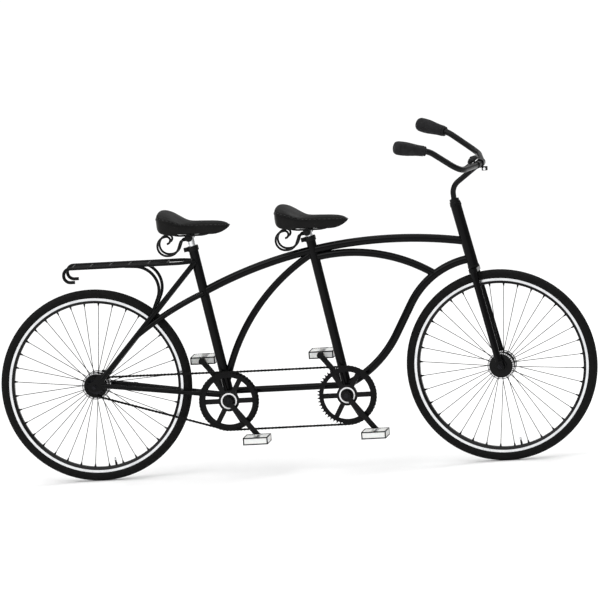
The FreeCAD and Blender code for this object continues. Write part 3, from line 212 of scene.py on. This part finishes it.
def tyre_rubber():
    """Carbon-black rubber with random greyer, dustier flecks."""
    s = Shader("tyre_rubber")
    s.set(Specular_IOR_Level=0.09)
    fleck = s.noise(70.0, 6.0, 0.65)
    s.colour(s.ramp(fleck, [(0.25, (0.003, 0.003, 0.003)), (0.6, (0.0055, 0.0055, 0.0055)),
                            (0.85, (0.012, 0.0118, 0.0112))]))
    s.roughness(s.range(s.noise(130.0), 0.3, 0.75, 0.52, 0.78))
    s.bump(s.noise(900.0, 3.0), 0.00012, 0.5)
    return s.material


def moulded_rubber(name, base):
    s = Shader(name)
    s.set(Specular_IOR_Level=0.10)
    s.colour(s.ramp(s.noise(55.0, 6.0), [(0.25, base), (0.8, tuple(c * 2.2 for c in base))]))
    s.roughness(s.range(s.noise(160.0), 0.3, 0.7, 0.42, 0.66))
    s.bump(s.noise(1500.0, 3.0), 0.00008, 0.5, soft_edge=0.0005)
    return s.material


def leather():
    """Smooth saddle leather: pebble grain, patchy worn shine."""
    s = Shader("saddle_leather")
    s.set(Specular_IOR_Level=0.12, Coat_Weight=0.03, Coat_Roughness=0.35)
    tone = s.noise(28.0, 7.0, 0.6)
    s.colour(s.ramp(tone, [(0.2, (0.0022, 0.0021, 0.0020)), (0.55, (0.0042, 0.0040, 0.0038)),
                           (0.9, (0.010, 0.0093, 0.0088))]))
    pebble = s.cells(520.0)
    wrinkle = s.noise(260.0, 5.0, 0.6)
    height = s.maths("ADD", s.maths("MULTIPLY", pebble, 0.8), s.maths("MULTIPLY", wrinkle, 0.6))
    s.roughness(s.range(s.noise(16.0, 4.0), 0.3, 0.75, 0.34, 0.55))
    s.bump(height, 0.00035, 0.35)
    return s.material


def thread(name, light):
    s = Shader(name)
    s.set(Sheen_Weight=0.3)
    s.colour(s.ramp(s.noise(900.0), [(0.3, light), (0.8, tuple(min(1, c * 1.8) for c in light))]))
    s.roughness(s.range(s.noise(700.0), 0.3, 0.7, 0.7, 0.9))
    s.bump(s.noise(2400.0), 0.0001, 0.6)
    return s.material


def white_rubber():
    """Off-white pedal block with scuffs that gather dirt."""
    s = Shader("white_block")
    s.set(Specular_IOR_Level=0.4, Subsurface_Weight=0.03)
    scuff = s.noise(85.0, 8.0, 0.7)
    s.colour(s.ramp(scuff, [(0.2, (0.80, 0.80, 0.775)), (0.6, (0.86, 0.86, 0.845)),
                            (0.8, (0.74, 0.73, 0.70))]))
    s.roughness(s.range(s.noise(60.0), 0.3, 0.7, 0.42, 0.62))
    s.bump(s.noise(1100.0, 3.0), 0.00009, 0.5, soft_edge=0.0006)
    return s.material


def rim_metal(name, hub, dark_inside):
    """Polished silver side wall, and a black spoke bed inside a set radius."""
    s = Shader(name)
    radius = s.radius_from(hub)
    is_wall = s.range(radius, dark_inside - 0.0004, dark_inside + 0.0004, 0.0, 1.0)
    ring = s.noise(2400.0, 2.0)
    silver = s.ramp(s.noise(40.0), [(0.3, (0.74, 0.75, 0.77)), (0.7, (0.88, 0.89, 0.90))])
    s.colour(s.mix(is_wall, (0.0025, 0.0025, 0.0028), silver))
    s.set(Specular_IOR_Level=0.2)
    s.link(is_wall, s.surface.inputs["Metallic"])
    s.roughness(s.range(s.noise(30.0), 0.3, 0.7, 0.20, 0.32))
    s.bump(ring, 0.00002, 0.3)
    return s.material


def spoke_metal(name):
    """Blacked steel wire with a faint drawn grain."""
    s = Shader(name)
    s.colour(s.ramp(s.noise(240.0), [(0.3, (0.002, 0.002, 0.002)), (0.7, (0.005, 0.005, 0.005))]))
    s.set(Specular_IOR_Level=0.12)
    s.roughness(s.range(s.noise(300.0), 0.3, 0.7, 0.26, 0.40))
    s.bump(s.noise(1500.0, 2.0), 0.00001, 0.3)
    return s.material


def black_with_painted_highlight_ring(name, hub, inner, outer, near, far):
    """Black metal with one painted highlight ring, between two radii and two places along Y: a
    chrome ring's shine painted as flat near-white colour.
    """
    s = Shader(name)
    ring = s.band(s.radius_from(hub), inner, outer)
    split = s.add("ShaderNodeSeparateXYZ")
    s.link(s.position, split.inputs[0])
    # painted highlight: near-white inside the ring and the Y band, standing in for a chrome ring's
    # shine
    bright = s.maths("MULTIPLY", ring, s.band(split.outputs[1], near, far))
    black = s.ramp(s.noise(9.0), [(0.3, (0.0016, 0.0016, 0.0018)), (0.75, (0.003, 0.003, 0.0034))])
    s.colour(s.mix(bright, black, (0.90, 0.90, 0.91)))
    s.set(Coat_Weight=0.05, Coat_Roughness=0.06, Specular_IOR_Level=0.12)
    s.roughness(s.range(s.noise(60.0), 0.3, 0.7, 0.2, 0.34))
    s.bump(s.noise(420.0, 2.0), 0.00004, 0.35, soft_edge=0.0008)
    return s.material


def chain_steel():
    """Oiled roller chain, dark with fine random grime and a few slightly brighter flecks."""
    s = Shader("chain_steel")
    s.set(Metallic=0.2, Specular_IOR_Level=0.12)
    s.colour(s.ramp(s.noise(380.0, 6.0), [(0.3, (0.002, 0.002, 0.002)), (0.6, (0.005, 0.005, 0.005)),
                                          (0.85, (0.012, 0.0115, 0.011))]))
    s.roughness(s.range(s.noise(500.0), 0.3, 0.7, 0.28, 0.5))
    s.bump(s.noise(1800.0), 0.00004, 0.5, soft_edge=0.0003)
    return s.material


def floor_paint():
    s = Shader("studio_floor")
    s.set(Specular_IOR_Level=0.1)
    s.colour(s.ramp(s.noise(0.6), [(0.3, (0.93, 0.93, 0.93)), (0.7, (0.95, 0.95, 0.95))]))
    s.roughness(s.range(s.noise(3.0), 0.3, 0.7, 0.85, 0.95))
    return s.material


# ------------------------------------------------------------------ mesh helpers
def new_piece(name, verts, faces, material, body, smooth=True):
    mesh = bpy.data.meshes.new(name)
    mesh.from_pydata([tuple(v) for v in verts], [], faces)
    mesh.validate()
    built = bmesh.new()
    built.from_mesh(mesh)
    bmesh.ops.recalc_face_normals(built, faces=built.faces)
    built.to_mesh(mesh)
    built.free()
    for polygon in mesh.polygons:
        polygon.use_smooth = smooth
    mesh.materials.append(material)
    piece = bpy.data.objects.new(name, mesh)
    bpy.context.scene.collection.objects.link(piece)
    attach(piece, body)
    return piece


def grid_faces(rows, columns, close_rows, close_columns, first=0):
    faces = []
    for i in range(rows if close_rows else rows - 1):
        for j in range(columns if close_columns else columns - 1):
            a = i * columns + j
            b = i * columns + (j + 1) % columns
            c = ((i + 1) % rows) * columns + (j + 1) % columns
            d = ((i + 1) % rows) * columns + j
            faces.append((first + a, first + b, first + c, first + d))
    return faces


def frame_on(axis):
    """Two unit vectors square to an axis."""
    axis = axis.normalized()
    up = Vector((0, 0, 1)) if abs(axis.z) < 0.9 else Vector((1, 0, 0))
    first = up.cross(axis).normalized()
    return first, axis.cross(first).normalized()


def lathe(name, outline, centre, axis, segments, material, body, wobble=None):
    """Turns (radius, along) points round an axis; wobble may add to a radius at an angle."""
    first, second = frame_on(axis)
    axis = axis.normalized()
    verts = []
    for i in range(segments):
        angle = 2 * math.pi * i / segments
        way = first * math.cos(angle) + second * math.sin(angle)
        for radius, along in outline:
            extra = wobble(radius, along, angle) if wobble else 0.0
            verts.append(centre + axis * along + way * (radius + extra))
    faces = grid_faces(segments, len(outline), True, True)
    return new_piece(name, verts, faces, material, body)


def tube_along(points, radius, sides=10, closed=False):
    """Vertices and faces of a round bar that follows points."""
    verts = []
    count = len(points)
    normal = None
    for i, point in enumerate(points):
        before = points[(i - 1) % count] if closed or i > 0 else point
        after = points[(i + 1) % count] if closed or i < count - 1 else point
        tangent = (after - before).normalized()
        if normal is None:
            normal, _ = frame_on(tangent)
        normal = (normal - tangent * normal.dot(tangent)).normalized()
        side = tangent.cross(normal)
        for j in range(sides):
            angle = 2 * math.pi * j / sides
            verts.append(point + (normal * math.cos(angle) + side * math.sin(angle)) * radius)
    faces = grid_faces(count, sides, closed, True)
    if not closed:
        faces.append(tuple(reversed(range(sides))))
        faces.append(tuple(range((count - 1) * sides, count * sides)))
    return verts, faces


def merge(parts):
    verts = []
    faces = []
    for more_verts, more_faces in parts:
        base = len(verts)
        verts.extend(more_verts)
        faces.extend(tuple(base + i for i in face) for face in more_faces)
    return verts, faces


def subdivide(piece, levels):
    modifier = piece.modifiers.new("Smooth", "SUBSURF")
    modifier.levels = levels
    modifier.render_levels = levels


# ------------------------------------------------------------------ tyres
TYRE_HALF_WIDTH = 18.5 * MM
TREAD_DEPTH = 1.3 * MM
TREAD_BLOCKS = 76               # round the tyre
TREAD_ANGLE = math.radians(62)  # from the crown to the edge of the tread
RIM_INNER_RADIUS = 298 * MM
NIPPLE_FOOT_RADIUS = 288 * MM
SPOKES = 36


def tread(angle, across):
    """Depth of the tread pattern at an angle round the wheel and a place across it (-1..1)."""
    side = abs(across)
    if side > 0.93:
        return 0.0
    if abs(side - 0.16) < 0.035 or abs(side - 0.50) < 0.035:
        return TREAD_DEPTH
    if side > 0.50:
        phase = (angle / (2 * math.pi) * TREAD_BLOCKS + side - 0.50) % 1.0
        return TREAD_DEPTH if phase < 0.24 and side < 0.90 else 0.0
    if side > 0.16:
        phase = (angle / (2 * math.pi) * TREAD_BLOCKS - (side - 0.16) * 2.2 + 0.5) % 1.0
        return TREAD_DEPTH * 0.9 if phase < 0.20 else 0.0
    return 0.0


def make_tyre(wheel, body, material):
    """A tyre with a ribbed and siped tread, a moulded shoulder line and a bead."""
    node = wheel + "_tyre"
    low, high = (Vector(c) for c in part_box(node))
    hub = (low + high) / 2
    outer = (high.z - low.z) / 2
    centre_radius = outer - TYRE_HALF_WIDTH
    segments = TREAD_BLOCKS * 8
    section = 72
    verts = []
    for i in range(segments):
        turn = 2 * math.pi * i / segments
        out = Vector((math.cos(turn), 0, math.sin(turn)))
        for j in range(section):
            around = 2 * math.pi * j / section
            across = math.sin(around)
            reach = TYRE_HALF_WIDTH
            if math.cos(around) > -0.05:
                angle_from_crown = math.atan2(abs(across), math.cos(around))
                place = angle_from_crown / TREAD_ANGLE
                if place <= 1.0:
                    reach -= tread(turn, math.copysign(place, across))
                elif place < 1.06:
                    reach -= 0.5 * MM
            radius = centre_radius + reach * math.cos(around)
            flat = max(radius, centre_radius - 17.2 * MM)
            verts.append(hub + out * flat + Vector((0, reach * across, 0)))
    faces = grid_faces(segments, section, True, True)
    piece = new_piece(wheel + "_treaded_tyre", verts, faces, material, body)
    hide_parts(node)
    return hub


def make_valve(wheel, body, hub, black, metal):
    """A Schrader valve stem with its cap, inside the rim at the joint."""
    turn = math.radians(-80)
    out = Vector((math.cos(turn), 0, math.sin(turn)))
    base = hub + out * (RIM_INNER_RADIUS + 2 * MM)
    stem = [(0.2 * MM, -2 * MM), (4.2 * MM, -2 * MM), (3.9 * MM, 12 * MM), (3.1 * MM, 14 * MM),
            (3.1 * MM, 24 * MM), (0.2 * MM, 24 * MM)]
    lathe(wheel + "_valve_stem", stem, base, -out, 24, black, body)
    cap = [(0.2 * MM, 20 * MM), (3.7 * MM, 20 * MM), (3.9 * MM, 21 * MM), (3.9 * MM, 28 * MM),
           (3.2 * MM, 30.5 * MM), (0.2 * MM, 31 * MM)]

    def knurl(radius, along, angle):
        return 0.18 * MM * math.cos(angle * 12) if radius > 3.8 * MM else 0.0

    lathe(wheel + "_valve_cap", cap, base, -out, 72, metal, body, knurl)


def make_spoke_cones(wheel, body, hub, material):
    """A flared collar round each nipple, where the spoke enters the rim."""
    outline = [(1.4, 0.0), (2.4, 0.0), (2.7, 4.0), (4.2, 9.5), (4.9, 11.5), (1.4, 11.5)]
    parts = []
    for i in range(SPOKES):
        turn = 2 * math.pi * (i + 0.5) / SPOKES
        out = Vector((math.sin(turn), 0, math.cos(turn)))
        side = out.cross(Vector((0, 1, 0)))
        verts = []
        for j in range(16):
            around = 2 * math.pi * j / 16
            way = side * math.cos(around) + Vector((0, 1, 0)) * math.sin(around)
            for radius, along in outline:
                verts.append(hub + out * (NIPPLE_FOOT_RADIUS + along * MM) + way * radius * MM)
        parts.append((verts, grid_faces(16, len(outline), True, True)))
    verts, faces = merge(parts)
    new_piece(wheel + "_spoke_cones", verts, faces, material, body)


# ------------------------------------------------------------------ grips
def make_grip(side, sign, material):
    """A bulbous moulded grip with finger rings, a flange and a rounded end."""
    node = side + "_grip"
    # the grip's axis, known from the bar: it runs forwards, inwards and slightly down
    back = Vector((0.452, 0.309 * sign, 1.197))
    front = Vector((0.567, 0.250 * sign, 1.168))
    axis = (front - back).normalized()
    outline = [(0.4, -5.0), (9, -5.0), (15.5, -4.2), (20.2, -1.8), (23.2, 2.6), (24.7, 8)]
    along = 8.0
    while along < 104:
        share = (along - 8) / 96
        swell = 24.9 - 5.2 * share ** 1.8 + 1.1 * math.sin(share * math.pi * 1.9)
        outline.extend([(swell, along), (swell + 0.2, along + 2.6), (swell - 1.0, along + 3.3),
                        (swell - 1.0, along + 4.3)])
        along += 5.05
    outline.extend([(15.2, 108), (15.0, 110.4), (17.6, 111.4), (18.3, 113.2), (17.6, 115.4),
                    (13.2, 116), (11.4, 116), (11.4, 60), (0.4, 60)])
    scaled = [(r * MM, a * MM) for r, a in outline]

    def flutes(radius, along, angle):
        inside = 12 * MM < along < 100 * MM and radius > 16 * MM
        return -0.35 * MM * max(0.0, math.cos(angle * 18)) if inside else 0.0

    piece = lathe(side + "_moulded_grip", scaled, back, axis, 144, material, "steering",
                  flutes)
    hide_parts(node)


# ------------------------------------------------------------------ pedals
def rounded_bar(centre, size, radius):
    """A box with rounded long edges along Y; returns verts and faces."""
    half_x, half_y, half_z = (value / 2 for value in size)
    section = []
    for corner, (sx, sz) in enumerate(((1, 1), (-1, 1), (-1, -1), (1, -1))):
        for step in range(5):
            angle = math.radians(90 * corner + 22.5 * step)
            section.append(Vector((sx * (half_x - radius) + radius * math.cos(angle), 0,
                                   sz * (half_z - radius) + radius * math.sin(angle))))
    rows = []
    for place, inset in ((-1, radius * 0.8), (-0.97, 0.0), (0.97, 0.0), (1, radius * 0.8)):
        row = []
        for point in section:
            scale_x = (half_x - inset) / half_x
            scale_z = (half_z - inset) / half_z
            row.append(Vector((point.x * scale_x, place * half_y, point.z * scale_z)))
        rows.append(row)
    count = len(section)
    verts = [v for row in rows for v in row]
    faces = grid_faces(len(rows), count, False, True)
    faces.append(tuple(reversed(range(count))))
    faces.append(tuple(range((len(rows) - 1) * count, len(rows) * count)))
    return [centre + v for v in verts], faces


def make_pedal(end, side, white, black, steel):
    """Two white ribbed blocks between black end plates, on a barrel with a dust cap."""
    node = "%s_%s_pedal" % (end, side)
    body = node + "_body"
    low, high = (Vector(c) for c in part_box(node))
    centre = (low + high) / 2
    size = high - low
    blocks = []
    for way in (-1, 1):
        wide = size.x / 2 - 13 * MM
        place = centre + Vector((way * (size.x / 2 - 1 * MM - wide / 2), 0, 0))
        blocks.append(rounded_bar(place, (wide, size.y - 8 * MM, size.z - 3 * MM), 3.2 * MM))
        for top in (-1, 1):
            for rib in (-1.5, -0.5, 0.5, 1.5):
                spot = place + Vector((rib * 6.6 * MM, 0, top * (size.z / 2 - 1.4 * MM)))
                blocks.append(rounded_bar(spot, (3.6 * MM, size.y - 14 * MM, 2.6 * MM), 1.1 * MM))
    for way in (-1, 1):
        cap = centre + Vector((0, way * (size.y / 2 - 2.6 * MM), 0))
        blocks.append(rounded_bar(cap, (size.x - 4 * MM, 3.6 * MM, size.z - 5 * MM), 2.0 * MM))
    verts, faces = merge(blocks)
    piece = new_piece(node + "_blocks", verts, faces, white, body)
    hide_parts(node)

    metal = []
    for way in (-1, 1):
        spot = centre + Vector((0, way * (size.y / 2 - 1.6 * MM), 0))
        for edge in (-1, 1):
            post = spot + Vector((edge * (size.x / 2 - 2 * MM), 0, 0))
            metal.append(rounded_bar(post, (4.2 * MM, 3.6 * MM, size.z), 1.2 * MM))
            lip = spot + Vector((0, 0, edge * (size.z / 2 - 2 * MM)))
            metal.append(rounded_bar(lip, (size.x, 3.6 * MM, 4 * MM), 1.2 * MM))
            corner = centre + Vector((way * (size.x / 2 - 1.9 * MM), 0,
                                      edge * (size.z / 2 - 1.9 * MM)))
            metal.append(rounded_bar(corner, (4 * MM, size.y - 2 * MM, 4 * MM), 1.2 * MM))
    verts, faces = merge(metal)
    new_piece(node + "_frame", verts, faces, black, body)

    outward = Vector((0, -1 if side == "right" else 1, 0))
    half = size.y / 2 / MM
    barrel = [(4.6, 2 - half), (10.5, 2 - half), (10.5, 10 - half), (8.4, 16 - half), (7.6, 0),
              (8.4, half - 16), (9.6, half - 10), (9.6, half - 6), (4.6, half - 6)]
    lathe(node + "_barrel", [(r * MM, a * MM) for r, a in barrel], centre, outward, 40, steel,
          body)


# ------------------------------------------------------------------ saddles
# stations along the saddle: (x from the post, half width, crown height, edge height, skirt)
SADDLE_STATIONS = [
    (-113, 46, 68, 61, 38), (-110, 64, 79, 68, 26), (-103, 80, 84, 73, 15), (-90, 92, 84, 72, 8),
    (-70, 97, 77, 66, 5), (-48, 90, 65, 55, 4), (-24, 72, 52, 43, 3), (-4, 53, 45, 36, 2),
    (18, 39, 43, 33, 0), (44, 31, 43, 32, -4), (72, 26, 42, 31, -7), (98, 23.5, 41, 30, -7),
    (120, 21, 38, 28, -1), (136, 17, 33, 24, 8), (145, 10, 27, 21, 15),
]


def saddle_section(half_width, crown, edge, skirt):
    """Half outline from the crown over the edge to the skirt's hem, as (y, z) in millimetres."""
    points = []
    for share in (0.0, 0.18, 0.36, 0.54, 0.70, 0.82):
        points.append((half_width * share, crown - (crown - edge) * share ** 2.2 * 0.8))
    points.append((half_width * 0.92, edge + (crown - edge) * 0.12))
    points.append((half_width * 0.985, edge - 2.5))
    drop = edge - skirt
    points.append((half_width * 1.0, edge - drop * 0.22))
    points.append((half_width * 0.985, edge - drop * 0.50))
    points.append((half_width * 0.95, edge - drop * 0.80))
    points.append((half_width * 0.90, skirt))
    return points


def make_saddle(end, hide, seam):
    """A crowned leather top with a turned hem, a stitched edge seam and a base pan."""
    node = end + "_saddle"
    body = end + "_saddle_post"
    low, high = (Vector(c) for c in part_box(node))
    origin = Vector((high.x - 148 * MM, 0, low.z - 1 * MM))
    rows = []
    for x, half_width, crown, edge, skirt in SADDLE_STATIONS:
        half = saddle_section(half_width, crown, edge, skirt)
        inner = [(y - 3.5, z + 1.5) for y, z in reversed(half[-3:])]
        half = half + inner
        row = [(-y, z) for y, z in reversed(half[1:])] + half
        rows.append([origin + Vector((x, y, z)) * MM for y, z in row])
    columns = len(rows[0])
    verts = [v for row in rows for v in row]
    faces = grid_faces(len(rows), columns, False, False)
    # caps at the back and the nose: fans to a middle point a little further out
    for row, reach, lift in ((0, -3.0, 0.0), (len(rows) - 1, 3.5, -1.0)):
        ring = [row * columns + j for j in range(3, columns - 3)]
        spot = sum((verts[i] for i in ring), Vector()) / len(ring)
        spot += Vector((reach, 0, lift)) * MM
        hub = len(verts)
        verts.append(spot)
        for a, b in zip(ring, ring[1:]):
            faces.append((a, b, hub) if row else (b, a, hub))
        faces.append((ring[-1], ring[0], hub) if row else (ring[0], ring[-1], hub))
    # underside pan: joins the two inner hems
    for i in range(len(rows) - 1):
        a = i * columns
        b = (i + 1) * columns
        faces.append((a, b, b + columns - 1, a + columns - 1))
    top = new_piece(end + "_saddle_cover", verts, faces, hide, body)
    subdivide(top, 3)
    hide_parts(node)

    # piping and stitches follow the seam just below the edge
    seam_path = []
    for x, half_width, crown, edge, skirt in SADDLE_STATIONS[1:]:
        drop = edge - skirt
        seam_path.append(Vector((x, half_width * 1.0, edge - drop * 0.16)))
    left = [origin + v * MM for v in seam_path]
    right = [Vector((v.x, -v.y, v.z)) for v in left]
    back = origin + Vector((-115.5, 0, 60)) * MM
    nose = origin + Vector((148.5, 0, 23)) * MM
    loop = [back] + left + [nose] + list(reversed(right))
    smooth = smooth_loop(loop, 8)
    verts, faces = tube_along(smooth, 1.7 * MM, 8, closed=True)
    new_piece(end + "_saddle_piping", verts, faces, hide, body)
    stitches = []
    step = 5
    for i in range(0, len(smooth) - 2, step):
        start = smooth[i]
        finish = smooth[(i + 3) % len(smooth)]
        lift = Vector((0, 0, 4.2 * MM))
        inward = Vector((0, -math.copysign(0.9 * MM, start.y), 0))
        bar = [start + lift + inward, (start + finish) / 2 + lift + inward * 0.4,
               finish + lift + inward]
        stitches.append(tube_along(bar, 0.45 * MM, 6))
    verts, faces = merge(stitches)
    new_piece(end + "_saddle_stitching", verts, faces, seam, body)


def smooth_loop(points, steps):
    """Catmull-Rom points on a closed loop."""
    out = []
    count = len(points)
    for i in range(count):
        p0, p1, p2, p3 = (points[(i + k - 1) % count] for k in range(4))
        for j in range(steps):
            t = j / steps
            out.append(0.5 * ((2 * p1) + (p2 - p0) * t + (2 * p0 - 5 * p1 + 4 * p2 - p3) * t * t
                              + (3 * p1 - p0 - 3 * p2 + p3) * t ** 3))
    return out


# ------------------------------------------------------------------ carried-over CAD nodes
def paint(node, material):
    piece = NODES[node]
    piece.data.materials.clear()
    piece.data.materials.append(material)
    for polygon in piece.data.polygons:
        polygon.material_index = 0


def shade_smooth(piece, degrees=32):
    mesh = piece.data
    for polygon in mesh.polygons:
        polygon.use_smooth = True
    mesh.set_sharp_from_angle(angle=math.radians(degrees))


# painted highlight rings on otherwise black parts, standing for the shine of chrome rings: inner and
# outer radius, and the reach along Y
HUB_PAINTED_HIGHLIGHT = (43 * MM, 46.8 * MM, -40 * MM, 40 * MM)
CRANK_PAINTED_HIGHLIGHT = (24 * MM, 29 * MM, -59.8 * MM, -36 * MM)
BRIGHT_RIM_RADIUS = 308.6 * MM


def dress_cad_nodes(hubs):
    """Every part kept from the CAD gets its material; returns those the added pieces share."""
    black = enamel("frame_enamel")
    satin = satin_metal("black_fittings", (0.002, 0.002, 0.0022), (0.005, 0.005, 0.0055), 0.30,
                        metallic=0.0, coat=0.06)
    blued = satin_metal("blued_steel", (0.008, 0.008, 0.009), (0.02, 0.02, 0.023), 0.34,
                        metallic=0.5)
    bright = chrome()
    steel = satin_metal("bare_steel", (0.42, 0.42, 0.43), (0.62, 0.62, 0.63), 0.3)
    chain = chain_steel()
    by_slot = {"frame_paint": black, "black_steel": satin, "chrome": bright, "chain": chain,
               "ring": enamel("ring_enamel", gloss=0.2), "bell": satin}
    slots = {row["node"]: row["material_slot"] for row in frame["record"]["subparts"]}
    for name, piece in NODES.items():
        shade_smooth(piece)
        if slots[name] in by_slot:
            paint(name, by_slot[slots[name]])
    for wheel, hub in hubs.items():
        # the hub flanges get a painted highlight ring
        paint(wheel + "_hub", black_with_painted_highlight_ring(wheel + "_hub_black_painted_highlight", hub, *HUB_PAINTED_HIGHLIGHT))
        paint(wheel + "_rim", rim_metal(wheel + "_rim_metal", hub, BRIGHT_RIM_RADIUS))
        paint(wheel + "_spokes", spoke_metal(wheel + "_spoke_metal"))
        paint(wheel + "_axle", blued)
    paint("rear_sprocket", blued)
    for end in ("rear", "front"):
        low, high = (Vector(c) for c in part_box(end + "_spindle"))
        spindle = (low + high) / 2
        # the crank spider gets a painted highlight ring round its boss
        paint(end + "_crank_arms", black_with_painted_highlight_ring(end + "_crank_black_painted_highlight", spindle, *CRANK_PAINTED_HIGHLIGHT))
        paint(end + "_spindle", blued)
    return satin, bright, steel


# ------------------------------------------------------------------ studio
def add_area(name, place, target, size, power):
    light = bpy.data.lights.new(name, "AREA")
    light.shape = "RECTANGLE"
    light.size, light.size_y = size
    light.energy = power
    lamp = bpy.data.objects.new(name, light)
    lamp.location = place
    lamp.rotation_euler = (Vector(target) - Vector(place)).to_track_quat("-Z", "Y").to_euler()
    bpy.context.scene.collection.objects.link(lamp)


def make_studio():
    """A white floor under a very soft sun, a dim even surround and two soft boxes."""
    mesh = bpy.data.meshes.new("studio_floor")
    reach = 60
    mesh.from_pydata([(-reach, -reach, 0), (reach, -reach, 0), (reach, reach, 0),
                      (-reach, reach, 0)], [], [(0, 1, 2, 3)])
    mesh.materials.append(floor_paint())
    floor = bpy.data.objects.new("studio_floor", mesh)
    bpy.context.scene.collection.objects.link(floor)
    world = bpy.data.worlds.new("studio")
    world.use_nodes = True
    world.node_tree.nodes["Background"].inputs["Color"].default_value = (1.0, 1.0, 1.0, 1)
    world.node_tree.nodes["Background"].inputs["Strength"].default_value = 0.38
    bpy.context.scene.world = world
    sun = bpy.data.lights.new("soft_sun", "SUN")
    sun.energy = 2.5
    sun.angle = math.radians(110)
    lamp = bpy.data.objects.new("soft_sun", sun)
    lamp.rotation_euler = (math.radians(14), math.radians(-10), 0)
    bpy.context.scene.collection.objects.link(lamp)
    add_area("key", (-2.0, -3.6, 4.2), (0, 0, 0.6), (3.0, 2.0), 40)
    add_area("rim_light", (2.4, 3.2, 3.4), (0, 0, 0.6), (2.6, 1.2), 40)
    bpy.context.scene.view_settings.view_transform = "Standard"


def make_camera():
    """A level-ish long view of the right side, turned a little to the front and rolled."""
    azimuth = math.radians(8.5)
    elevation = math.radians(7.5)
    roll = math.radians(3.985)
    back = Vector((math.sin(azimuth) * math.cos(elevation),
                   -math.cos(azimuth) * math.cos(elevation), math.sin(elevation)))
    right = Vector((math.cos(azimuth), math.sin(azimuth), 0))
    up = back.cross(right)
    right_axis = right * math.cos(roll) - up * math.sin(roll)
    up_axis = right * math.sin(roll) + up * math.cos(roll)
    data = bpy.data.cameras.new("camera")
    data.type = "ORTHO"
    data.ortho_scale = 2.1648
    camera = bpy.data.objects.new("camera", data)
    bpy.context.scene.collection.objects.link(camera)
    place = Vector((0.0206, 0, 0.6197)) + back * 6.0
    camera.matrix_world = Matrix(((right_axis.x, up_axis.x, back.x, place.x),
                                  (right_axis.y, up_axis.y, back.y, place.y),
                                  (right_axis.z, up_axis.z, back.z, place.z), (0, 0, 0, 1)))
    bpy.context.scene.camera = camera


# ------------------------------------------------------------------ make everything
make_camera()
make_studio()
rubber = tyre_rubber()
hubs = {}
for wheel_name in ("front", "rear"):
    hubs[wheel_name] = make_tyre(wheel_name, wheel_name + "_wheel", rubber)
satin_black, chrome_plate, bare_steel = dress_cad_nodes(hubs)
for wheel_name, hub_centre in hubs.items():
    make_spoke_cones(wheel_name, wheel_name + "_wheel", hub_centre, satin_black)
    make_valve(wheel_name, wheel_name + "_wheel", hub_centre,
               moulded_rubber(wheel_name + "_valve_rubber", (0.012, 0.012, 0.012)), chrome_plate)
grip_rubber = moulded_rubber("grip_rubber", (0.010, 0.010, 0.0105))
make_grip("right", -1, grip_rubber)
make_grip("left", 1, grip_rubber)
block_white = white_rubber()
for end_name in ("rear", "front"):
    for side_name in ("right", "left"):
        make_pedal(end_name, side_name, block_white, satin_black, bare_steel)
saddle_hide = leather()
seam_thread = thread("seam_thread", (0.03, 0.03, 0.03))
for end_name in ("rear", "front"):
    make_saddle(end_name, saddle_hide, seam_thread)
